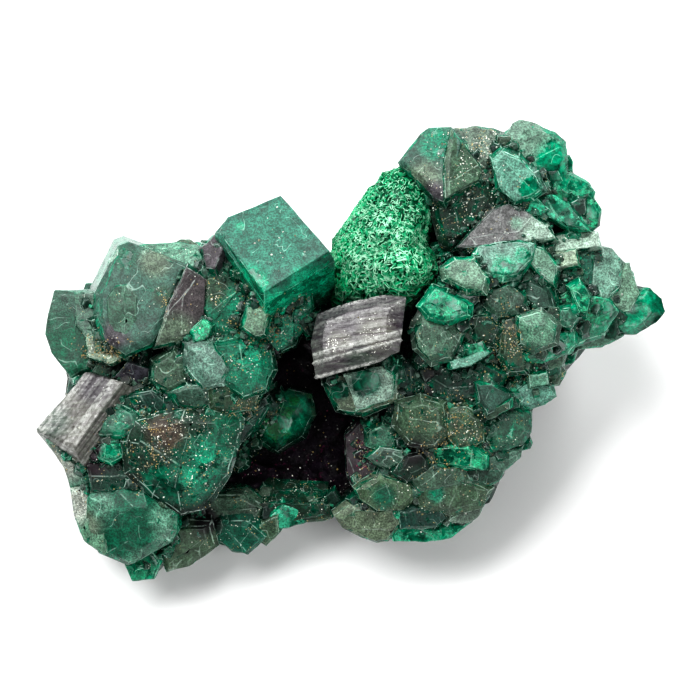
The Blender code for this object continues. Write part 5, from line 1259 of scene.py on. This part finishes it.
def make_rock(material):
    """The matrix: the solid's own form, finely divided and broken up, flat where it rests."""
    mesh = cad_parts["matrix_rock"].data.copy()
    rough = bpy.data.objects.new("matrix_surface", mesh)
    bpy.context.scene.collection.objects.link(rough)
    divide = rough.modifiers.new("divide", "REMESH")
    divide.mode = "VOXEL"
    divide.voxel_size = ROCK_VOXEL * MM
    fine = bpy.data.meshes.new_from_object(rough.evaluated_get(bpy.context.evaluated_depsgraph_get()))
    bpy.data.objects.remove(rough, do_unlink=True)
    shape = bmesh.new()
    shape.from_mesh(fine)
    bmesh.ops.triangulate(shape, faces=shape.faces)
    shape.normal_update()
    moves = []
    for vert in shape.verts:
        spot = vert.co / MM
        move = 0.0
        if spot.z > 0.3:
            ridge = 1.0 - 2.0 * abs(noise.noise(0.33 * spot))
            move = 0.5 * ridge - 0.45 + 0.3 * noise.noise(1.1 * spot) + 0.14 * noise.noise(3.1 * spot)
        moves.append(move * MM * vert.normal)
    for vert, move in zip(shape.verts, moves):
        vert.co += move
        vert.co.z = max(vert.co.z, 0.0)
    shape.to_mesh(fine)
    shape.free()
    fine.shade_smooth()
    fine.set_sharp_from_angle(angle=math.radians(40))
    fine.materials.clear()
    fine.materials.append(material)
    rock = bpy.data.objects.new("matrix_surface", fine)
    bpy.context.scene.collection.objects.link(rock)
    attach(rock, "root")
    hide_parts("matrix_rock")
    return rock


class Nodes:
    """Short ways to add nodes to a material."""

    def __init__(self, name):
        self.material = bpy.data.materials.new(name)
        self.material.use_nodes = True
        self.tree = self.material.node_tree
        self.surface = self.tree.nodes["Principled BSDF"]
        place = self.tree.nodes.new("ShaderNodeTexCoord")
        scale = self.tree.nodes.new("ShaderNodeMapping")
        scale.inputs["Scale"].default_value = (1 / MM, 1 / MM, 1 / MM)
        self.tree.links.new(place.outputs["Object"], scale.inputs["Vector"])
        self.place = scale.outputs["Vector"]

    def link(self, value, socket):
        """Feed a socket from another socket, or set it to a plain value."""
        if isinstance(value, bpy.types.NodeSocket):
            self.tree.links.new(value, socket)
        else:
            socket.default_value = value

    def attribute(self, name, output="Fac"):
        """One of the values that the mesh carries at the corners of its faces."""
        node = self.tree.nodes.new("ShaderNodeAttribute")
        node.attribute_name = name
        return node.outputs[output]

    def noise(self, scale, detail=3.0, rough=0.55, distortion=0.0):
        """Noise with so many waves to the millimetre."""
        node = self.tree.nodes.new("ShaderNodeTexNoise")
        self.link(self.place, node.inputs["Vector"])
        node.inputs["Scale"].default_value = scale
        node.inputs["Detail"].default_value = detail
        node.inputs["Roughness"].default_value = rough
        node.inputs["Distortion"].default_value = distortion
        return node.outputs["Fac"]

    def cells(self, scale, metric="EUCLIDEAN", output="Distance"):
        """A pattern of cells, so many to the millimetre."""
        node = self.tree.nodes.new("ShaderNodeTexVoronoi")
        self.link(self.place, node.inputs["Vector"])
        node.inputs["Scale"].default_value = scale
        node.distance = metric
        return node.outputs[output]

    def ramp(self, value, low, high, out_low=0.0, out_high=1.0):
        """A smooth rise from one value to another between two bounds."""
        node = self.tree.nodes.new("ShaderNodeMapRange")
        node.interpolation_type = "SMOOTHSTEP"
        for name, amount in (("Value", value), ("From Min", low), ("From Max", high),
                             ("To Min", out_low), ("To Max", out_high)):
            self.link(amount, node.inputs[name])
        return node.outputs["Result"]

    def math(self, operation, first, second=0.0):
        """One sum on two values."""
        node = self.tree.nodes.new("ShaderNodeMath")
        node.operation = operation
        self.link(first, node.inputs[0])
        self.link(second, node.inputs[1])
        return node.outputs["Value"]

    def mix(self, share, first, second, kind="MIX"):
        """Two colours mixed, or multiplied with the other kind."""
        node = self.tree.nodes.new("ShaderNodeMix")
        node.data_type = "RGBA"
        node.blend_type = kind
        self.link(share, node.inputs["Factor"])
        self.link(first, node.inputs[6])
        self.link(second, node.inputs[7])
        return node.outputs[2]

    def grey(self, value):
        """A plain value as a colour."""
        node = self.tree.nodes.new("ShaderNodeCombineColor")
        for name in ("Red", "Green", "Blue"):
            self.link(value, node.inputs[name])
        return node.outputs["Color"]

    def specks(self, amount):
        """Tiny separate dots, of two sizes; the amount is the share of the places that has one."""
        dots = []
        patches = self.ramp(self.noise(0.8, 4.0, 0.7), 0.44, 0.6, 0.06, 1.0)
        amount = self.math("MULTIPLY", amount, patches)
        for scale, wide in ((4.2, 0.36), (7.0, 0.44)):
            node = self.tree.nodes.new("ShaderNodeTexVoronoi")
            self.link(self.place, node.inputs["Vector"])
            node.inputs["Scale"].default_value = scale
            parts = self.tree.nodes.new("ShaderNodeSeparateColor")
            self.link(node.outputs["Color"], parts.inputs["Color"])
            limit = self.ramp(amount, 0.0, 1.0, 1.0, 0.55)
            there = self.ramp(self.math("SUBTRACT", parts.outputs["Red"], limit), 0.0, 0.02)
            dot = self.ramp(node.outputs["Distance"], 0.5 * wide, wide, 1.0, 0.0)
            dots.append(self.math("MULTIPLY", there, dot))
        return self.math("MAXIMUM", *dots)

    def hairlines(self):
        """Thin pale curves in some places, where thin layers of crystal end, painted bright as glinting
        lines.
        """
        curve = self.math("ABSOLUTE", self.math("SUBTRACT", self.noise(0.32, 1.5, 0.5, 0.4), 0.5))
        line = self.ramp(curve, 0.001, 0.007, 1.0, 0.0)
        return self.math("MULTIPLY", line, self.ramp(self.noise(0.55, 2.0), 0.46, 0.56))

    def bump(self, height, strength, depth):
        """Relief from a height, at a depth in millimetres."""
        node = self.tree.nodes.new("ShaderNodeBump")
        node.inputs["Strength"].default_value = strength
        node.inputs["Distance"].default_value = depth * MM
        self.link(height, node.inputs["Height"])
        self.link(node.outputs["Normal"], self.surface.inputs["Normal"])

    def set(self, **values):
        """Values or sockets for the surface shader, by their names with underscores."""
        for name, value in values.items():
            self.link(value, self.surface.inputs[name.replace("_", " ")])


def dioptase_material():
    """Emerald crystal: a cloudy green inside whose glow is painted light, a grainy pale film over it,
    glittering specks that are partly painted glints, and pale edges that are worn and painted highlights.
    """
    build = Nodes("emerald_dioptase")
    glow = build.attribute("glow")
    film = build.attribute("film")
    cloud = build.ramp(build.noise(0.6, 4.0, 0.6, 0.6), 0.36, 0.62, 0.25, 1.0)
    flaws = build.tree.nodes.new("ShaderNodeSeparateColor")
    build.link(build.cells(0.8, "CHEBYCHEV", "Color"), flaws.inputs["Color"])
    inside = build.mix(build.math("MULTIPLY", cloud, glow), INSIDE_DARK, INSIDE_BRIGHT)
    flecked = build.math("MULTIPLY", build.ramp(flaws.outputs["Red"], 0.0, 1.0, 0.7, 1.25),
                         build.ramp(build.noise(3.4, 5.0, 0.7), 0.38, 0.62, 0.65, 1.35))
    inside = build.mix(1.0, inside, build.grey(flecked), "MULTIPLY")
    grain = build.noise(5.5, 5.0, 0.75)
    mottle = build.ramp(build.noise(1.0, 4.0, 0.65), 0.36, 0.64, 0.66, 1.32)
    dapple = build.ramp(grain, 0.4, 0.6, 0.5, 1.6)
    plum = build.ramp(build.noise(0.35, 3.0, 0.6), 0.52, 0.68, 0.0, 0.2)
    coat = build.mix(plum, build.attribute("tone", "Color"), FILM_PLUM)
    coat = build.mix(1.0, coat, build.grey(build.math("MULTIPLY", mottle, dapple)), "MULTIPLY")
    limit = build.ramp(film, 0.0, 1.0, 0.72, 0.24)
    patch = build.math("ADD", build.noise(0.9, 5.0, 0.65), build.math("MULTIPLY", grain, 0.16))
    covered = build.ramp(build.math("SUBTRACT", patch, limit), 0.0, 0.1)
    tone = build.mix(covered, inside, coat)
    # White specks are partly painted glints.
    speck = build.specks(build.attribute("dust_and_glints"))
    gold = build.ramp(build.noise(1.1, 2.0), 0.42, 0.58)
    tone = build.mix(speck, tone, build.mix(gold, SPECK_WHITE, SPECK_GOLD))
    # Pale edges and hairlines: worn, and painted highlights.
    broken = build.ramp(build.noise(1.1, 4.0, 0.7), 0.43, 0.56, 0.0, 0.9)
    edge = build.math("MULTIPLY", build.attribute("wear_and_highlight"), broken)
    edge = build.math("MAXIMUM", edge, build.math("MULTIPLY", build.hairlines(), 0.6))
    pale = build.mix(0.5, build.mix(1.0, coat, (2.4, 2.4, 2.4, 1.0), "MULTIPLY"), WEAR_AND_HIGHLIGHT_TONE)
    tone = build.mix(edge, tone, pale)
    build.set(Base_Color=tone, IOR=1.67, Specular_IOR_Level=0.32)
    solid = build.math("MAXIMUM", covered, build.math("MAXIMUM", edge, speck))
    build.set(Roughness=build.ramp(solid, 0.0, 1.0, 0.22, 0.4))
    build.set(Transmission_Weight=build.math("MULTIPLY", build.math("MULTIPLY", glow, 0.25),
                                             build.math("SUBTRACT", 1.0, solid)))
    relief = build.math("MULTIPLY", grain, build.ramp(solid, 0.0, 1.0, 0.15, 0.8))
    relief = build.math("ADD", relief, build.math("MULTIPLY", build.cells(0.9, "CHEBYCHEV"), 0.4))
    build.bump(relief, 0.7, 0.1)
    return build.material


def malachite_material():
    """Silky green blades: deep at their feet and between the crests, a painted shade, and mint at the tips,
    painted highlights.
    """
    build = Nodes("velvet_malachite")
    wear_and_highlight = build.attribute("wear_and_highlight")
    tone = build.mix(build.ramp(wear_and_highlight, 0.0, 0.5), MALACHITE_DEEP, build.attribute("tone", "Color"))
    # Painted highlights: mint on the tops of some blades, where the noise is high.
    lit = build.ramp(build.noise(2.2, 3.0), 0.43, 0.6, 0.06, 0.95)
    tone = build.mix(build.math("MULTIPLY", build.ramp(wear_and_highlight, 0.5, 1.0), lit), tone, MALACHITE_MINT)
    drift = build.ramp(build.noise(0.3, 3.0), 0.3, 0.7, 0.75, 1.2)
    tone = build.mix(1.0, tone, build.grey(drift), "MULTIPLY")
    build.set(Base_Color=tone, Roughness=0.45, IOR=1.6, Specular_IOR_Level=0.25)
    build.bump(build.noise(9.0, 3.0), 0.3, 0.03)
    return build.material


def striated_material(name, turn, dark, light):
    """Grey-purple crystal with sparkling white ridges, painted highlights and sheen, and darker furrows,
    turned about the card's axis.
    """
    build = Nodes(name)
    stripe = build.tree.nodes.new("ShaderNodeMapping")
    stripe.inputs["Rotation"].default_value = (0, 0, turn)
    stripe.inputs["Scale"].default_value = (0.24, 3.2, 1.0)
    build.tree.links.new(build.place, stripe.inputs["Vector"])
    streaks = build.tree.nodes.new("ShaderNodeTexNoise")
    build.tree.links.new(stripe.outputs["Vector"], streaks.inputs["Vector"])
    streaks.inputs["Scale"].default_value = 1.0
    streaks.inputs["Detail"].default_value = 5.0
    streak = build.ramp(streaks.outputs["Fac"], 0.38, 0.62)
    tone = build.mix(1.0, build.mix(streak, dark, light), build.attribute("tone", "Color"), "MULTIPLY")
    # Painted sheen: white on the highest streaks, in patches.
    shine = build.math("MULTIPLY", build.ramp(streaks.outputs["Fac"], 0.55, 0.66),
                       build.ramp(build.noise(1.4, 5.0, 0.7), 0.45, 0.6))
    tone = build.mix(build.math("MULTIPLY", shine, 0.35), tone, PRISM_WHITE)
    broken = build.ramp(build.noise(2.4, 4.0, 0.7), 0.4, 0.6, 0.15, 0.9)
    # Ridge crests painted white, as worn and as painted highlights.
    tone = build.mix(build.math("MULTIPLY", build.attribute("wear_and_highlight"), broken), tone, PRISM_WHITE)
    tone = build.mix(build.specks(build.attribute("dust_and_glints")), tone, SPECK_WHITE)
    build.set(Base_Color=tone, IOR=1.6)
    build.set(Roughness=build.ramp(build.noise(2.5, 4.0), 0.3, 0.7, 0.18, 0.5))
    fine = build.math("MULTIPLY", build.noise(7.0, 4.0), 0.3)
    build.bump(build.math("ADD", streaks.outputs["Fac"], fine), 0.6, 0.12)
    return build.material


def rock_material():
    """Almost black matrix with a purple cast, magenta patches and fine glitter; its near-black is partly
    painted shade of the deep hollow.
    """
    build = Nodes("dark_matrix")
    tone = build.mix(build.ramp(build.noise(0.7, 5.0, 0.65), 0.35, 0.68), ROCK_BLACK, ROCK_PURPLE)
    rose = build.math("MULTIPLY", build.ramp(build.noise(1.1, 3.0), 0.56, 0.68),
                      build.ramp(build.noise(4.0, 4.0, 0.7), 0.45, 0.62))
    tone = build.mix(rose, tone, ROCK_ROSE)
    flecks = build.ramp(build.cells(2.6), 0.0, 0.13, 1.0, 0.0)
    tone = build.mix(build.math("MULTIPLY", flecks, 0.7), tone, ROCK_FLECK)
    build.set(Base_Color=tone, IOR=1.5, Specular_IOR_Level=0.3)
    build.set(Roughness=build.ramp(build.noise(3.0, 4.0), 0.3, 0.7, 0.35, 0.85))
    build.bump(build.math("ADD", build.noise(2.2, 6.0, 0.7), build.math("MULTIPLY", build.cells(3.5), 0.5)),
               0.7, 0.2)
    return build.material


def grain_material():
    """Tiny gold, white and magenta grains, coloured by grain."""
    build = Nodes("mineral_grains")
    shade = build.ramp(build.noise(6.0, 3.0), 0.3, 0.7, 0.0, 0.4)
    tone = build.mix(shade, build.attribute("tone", "Color"), GRAIN_SHADE)
    build.set(Base_Color=tone, Roughness=0.3, IOR=1.6)
    build.bump(build.noise(12.0, 3.0), 0.4, 0.03)
    return build.material


def floor_material():
    """Plain, very pale and matt."""
    build = Nodes("studio_floor")
    build.set(Base_Color=(0.92, 0.92, 0.92, 1.0), Roughness=0.9)
    return build.material


def grain_colours(kinds, count, draw):
    """One colour for each grain, picked from the kinds and varied."""
    picked = np.array(kinds)[draw.integers(len(kinds), size=count)]
    return picked * draw.uniform(0.65, 1.35, size=(count, 1))


def add_floor():
    """The floor that the specimen lies on."""
    shape = bmesh.new()
    bmesh.ops.create_grid(shape, x_segments=2, y_segments=2, size=FLOOR_HALF)
    mesh = bpy.data.meshes.new("floor")
    shape.to_mesh(mesh)
    shape.free()
    mesh.materials.append(floor_material())
    floor = bpy.data.objects.new("floor", mesh)
    bpy.context.scene.collection.objects.link(floor)


def add_camera():
    """A long lens that looks straight at the card, which fills the picture."""
    data = bpy.data.cameras.new("camera")
    data.lens = LENS
    data.sensor_width = SENSOR
    away = 2 * CARD_MIDDLE * LENS / SENSOR
    camera = bpy.data.objects.new("camera", data)
    bpy.context.scene.collection.objects.link(camera)
    stand = PLACE.to_3x3().normalized()
    camera.matrix_world = Matrix.Translation(PLACE @ Vector((0, 0, away))) @ stand.to_4x4()
    data.clip_start = 0.01
    data.clip_end = 10.0
    bpy.context.scene.camera = camera


def add_light(name, place, size, power):
    """A soft square light that shines at the specimen."""
    data = bpy.data.lights.new(name, "AREA")
    data.size = size
    data.energy = power
    light = bpy.data.objects.new(name, data)
    light.location = place
    light.rotation_euler = (AIM - Vector(place)).to_track_quat("-Z", "Y").to_euler()
    bpy.context.scene.collection.objects.link(light)


def add_world():
    """An even white surround."""
    world = bpy.data.worlds.new("studio")
    world.use_nodes = True
    world.node_tree.nodes["Background"].inputs["Color"].default_value = (1.0, 1.0, 1.0, 1.0)
    world.node_tree.nodes["Background"].inputs["Strength"].default_value = WORLD_STRENGTH
    bpy.context.scene.world = world


def find_place():
    """Where card millimetres go: the stand, and the shift that the solids were given after it."""
    shape, front = block_shape(STRIATED_PRISM)
    mine = max((STAND @ vert.co for vert in shape.verts), key=lambda corner: corner.x)
    shape.free()
    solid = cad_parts["striated_crystal"].data.vertices
    theirs = max((vert.co for vert in solid), key=lambda corner: corner.x)
    return Matrix.Translation(theirs - mine) @ STAND


def find_solids_tree():
    """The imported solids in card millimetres, for casting rays at them."""
    back_to_card = PLACE.inverted()
    points, faces = [], []
    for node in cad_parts.values():
        start = len(points)
        points += [back_to_card @ vert.co for vert in node.data.vertices]
        faces += [[start + index for index in face.vertices] for face in node.data.polygons]
    return BVHTree.FromPolygons(points, faces)


PLACE = find_place()
SOLIDS_TREE = find_solids_tree()


def add_studio():
    """The camera, the lights, the floor and how the picture is developed."""
    add_camera()
    add_world()
    add_floor()
    bpy.context.scene.view_settings.view_transform = "Standard"
    bpy.context.scene.view_settings.look = "High Contrast"
    for light in LIGHTS:
        add_light(*light)


def gather_clusters():
    """The crystals of both clusters with their crusts, and the striated block of the left one by itself."""
    left, ridged, right = Gathered(), Gathered(), Gathered()
    for row in LEFT_BLOCKS:
        if row[0] == "striated_block":
            gather_block(row, ridged, STRIATED_BLOCK_RIBS)
        else:
            gather_block(row, left)
    for row in RIGHT_BLOCKS:
        gather_block(row, right)
    gather_crust(LEFT_CRUST_LUMPS, left)
    gather_crust(RIGHT_CRUST_LUMPS, right)
    gather_side_crystals("dioptase_left", LEFT_SIDE_CRYSTALS, LEFT_CRUST_LUMPS, left)
    gather_side_crystals("dioptase_right", RIGHT_SIDE_CRYSTALS, RIGHT_CRUST_LUMPS, right)
    return left, ridged, right


def gather_druse(tree, template_shapes, draw):
    """Small crystals in the hollows, and larger ones over the sides."""
    druse = Gathered()
    places, normals, depths = front_hits(tree, draw, DRUSE_TRIES)
    keep = depths > draw.uniform(0.15, 0.9, size=len(depths))
    front = (places[keep], normals[keep], DRUSE_SIZE)
    sides = (*side_hits(tree, draw, SIDE_DRUSE), SIDE_DRUSE_SIZE)
    film_colours = [LOOKS[look][0] for look in DRUSE_LOOKS]
    for spots, facing, sizes in (front, sides):
        kind = draw.integers(3, size=len(spots))
        size = draw.uniform(*sizes, size=len(spots))
        for number, template in enumerate(template_shapes):
            mine = kind == number
            tones = DRUSE_TONE * grain_colours(film_colours, int(mine.sum()), draw)
            gather_small(druse, template, spots[mine], facing[mine], size[mine], tones, 0.6, 0.5, 0.1, draw)
    return druse


def gather_grains(tree, rock_tree, cube, draw):
    """Gold, white and magenta grains on the crystals and on the matrix."""
    grains = Gathered()
    for zone, tries, kinds, share in GRAIN_ZONES:
        places, normals, depths = front_hits(tree, draw, tries, zone)
        keep = depths > draw.uniform(-share, 0.5, size=len(depths))
        places, normals = places[keep], normals[keep]
        gather_small(grains, cube, places, normals, draw.uniform(*GRAIN_SIZE, size=len(places)),
                     grain_colours(kinds, len(places), draw), 0.0, 0.0, 0.0, draw)
    for zone, tries in ROCK_GRAIN_ZONES:
        places, normals, depths = front_hits(rock_tree, draw, tries, zone)
        gather_small(grains, cube, places, normals, draw.uniform(*GRAIN_SIZE, size=len(places)),
                     grain_colours(ROCK_GRAINS, len(places), draw), 0.0, 0.0, 0.0, draw)
    return grains


def main():
    """Build every visible piece round the frame."""
    draw = np.random.default_rng(7)
    add_studio()
    dioptase = dioptase_material()
    prism_material = striated_material("grey_crystal", PRISM_TURN, PRISM_DARK, PRISM_GREY)
    block_material = striated_material("grey_ridged_crystal", BLOCK_TURN, BLOCK_DARK, BLOCK_GREY)

    left, ridged, right = gather_clusters()
    hollow = Gathered()
    gather_block(HOLLOW_BLOCK, hollow)
    prism = gather_prism()
    clusters = (left, ridged, right, hollow, prism)
    clusters_tree = joined_tree(clusters)
    malachite = gather_malachite(clusters_tree, draw)
    fillers = Gathered()
    gather_fillers(clusters_tree, fillers, draw)
    filled_tree = joined_tree((*clusters, fillers))

    malachite.piece("malachite_blades", malachite_material(), "velvet_malachite", ("malachite_ball",),
                    crease=60.0)
    prism.piece("striated_prism", prism_material, "grey_crystal", ("striated_crystal",))
    ridged.piece("striated_block", block_material, "grey_crystal")
    hollow.piece("hollow_crystal_faces", dioptase, "emerald_dioptase", ("hollow_crystal",))
    left.piece("left_crystals", dioptase, "emerald_dioptase", ("dioptase_left",))
    right.piece("right_crystals", dioptase, "emerald_dioptase", ("dioptase_right",))
    fillers.piece("filler_crystals", dioptase, "emerald_dioptase")
    rock = make_rock(rock_material())

    templates = [small_template(kind) for kind in ("prism", "rhomb", "cube")]
    gather_druse(filled_tree, templates, draw).piece("small_crystals", dioptase, "emerald_dioptase")
    back_to_card = PLACE.inverted()
    rock_tree = BVHTree.FromPolygons([back_to_card @ vert.co for vert in rock.data.vertices],
                                     [list(face.vertices) for face in rock.data.polygons])
    grains = gather_grains(filled_tree, rock_tree, templates[2], draw)
    grains.piece("mineral_grains", grain_material(), None)


main()
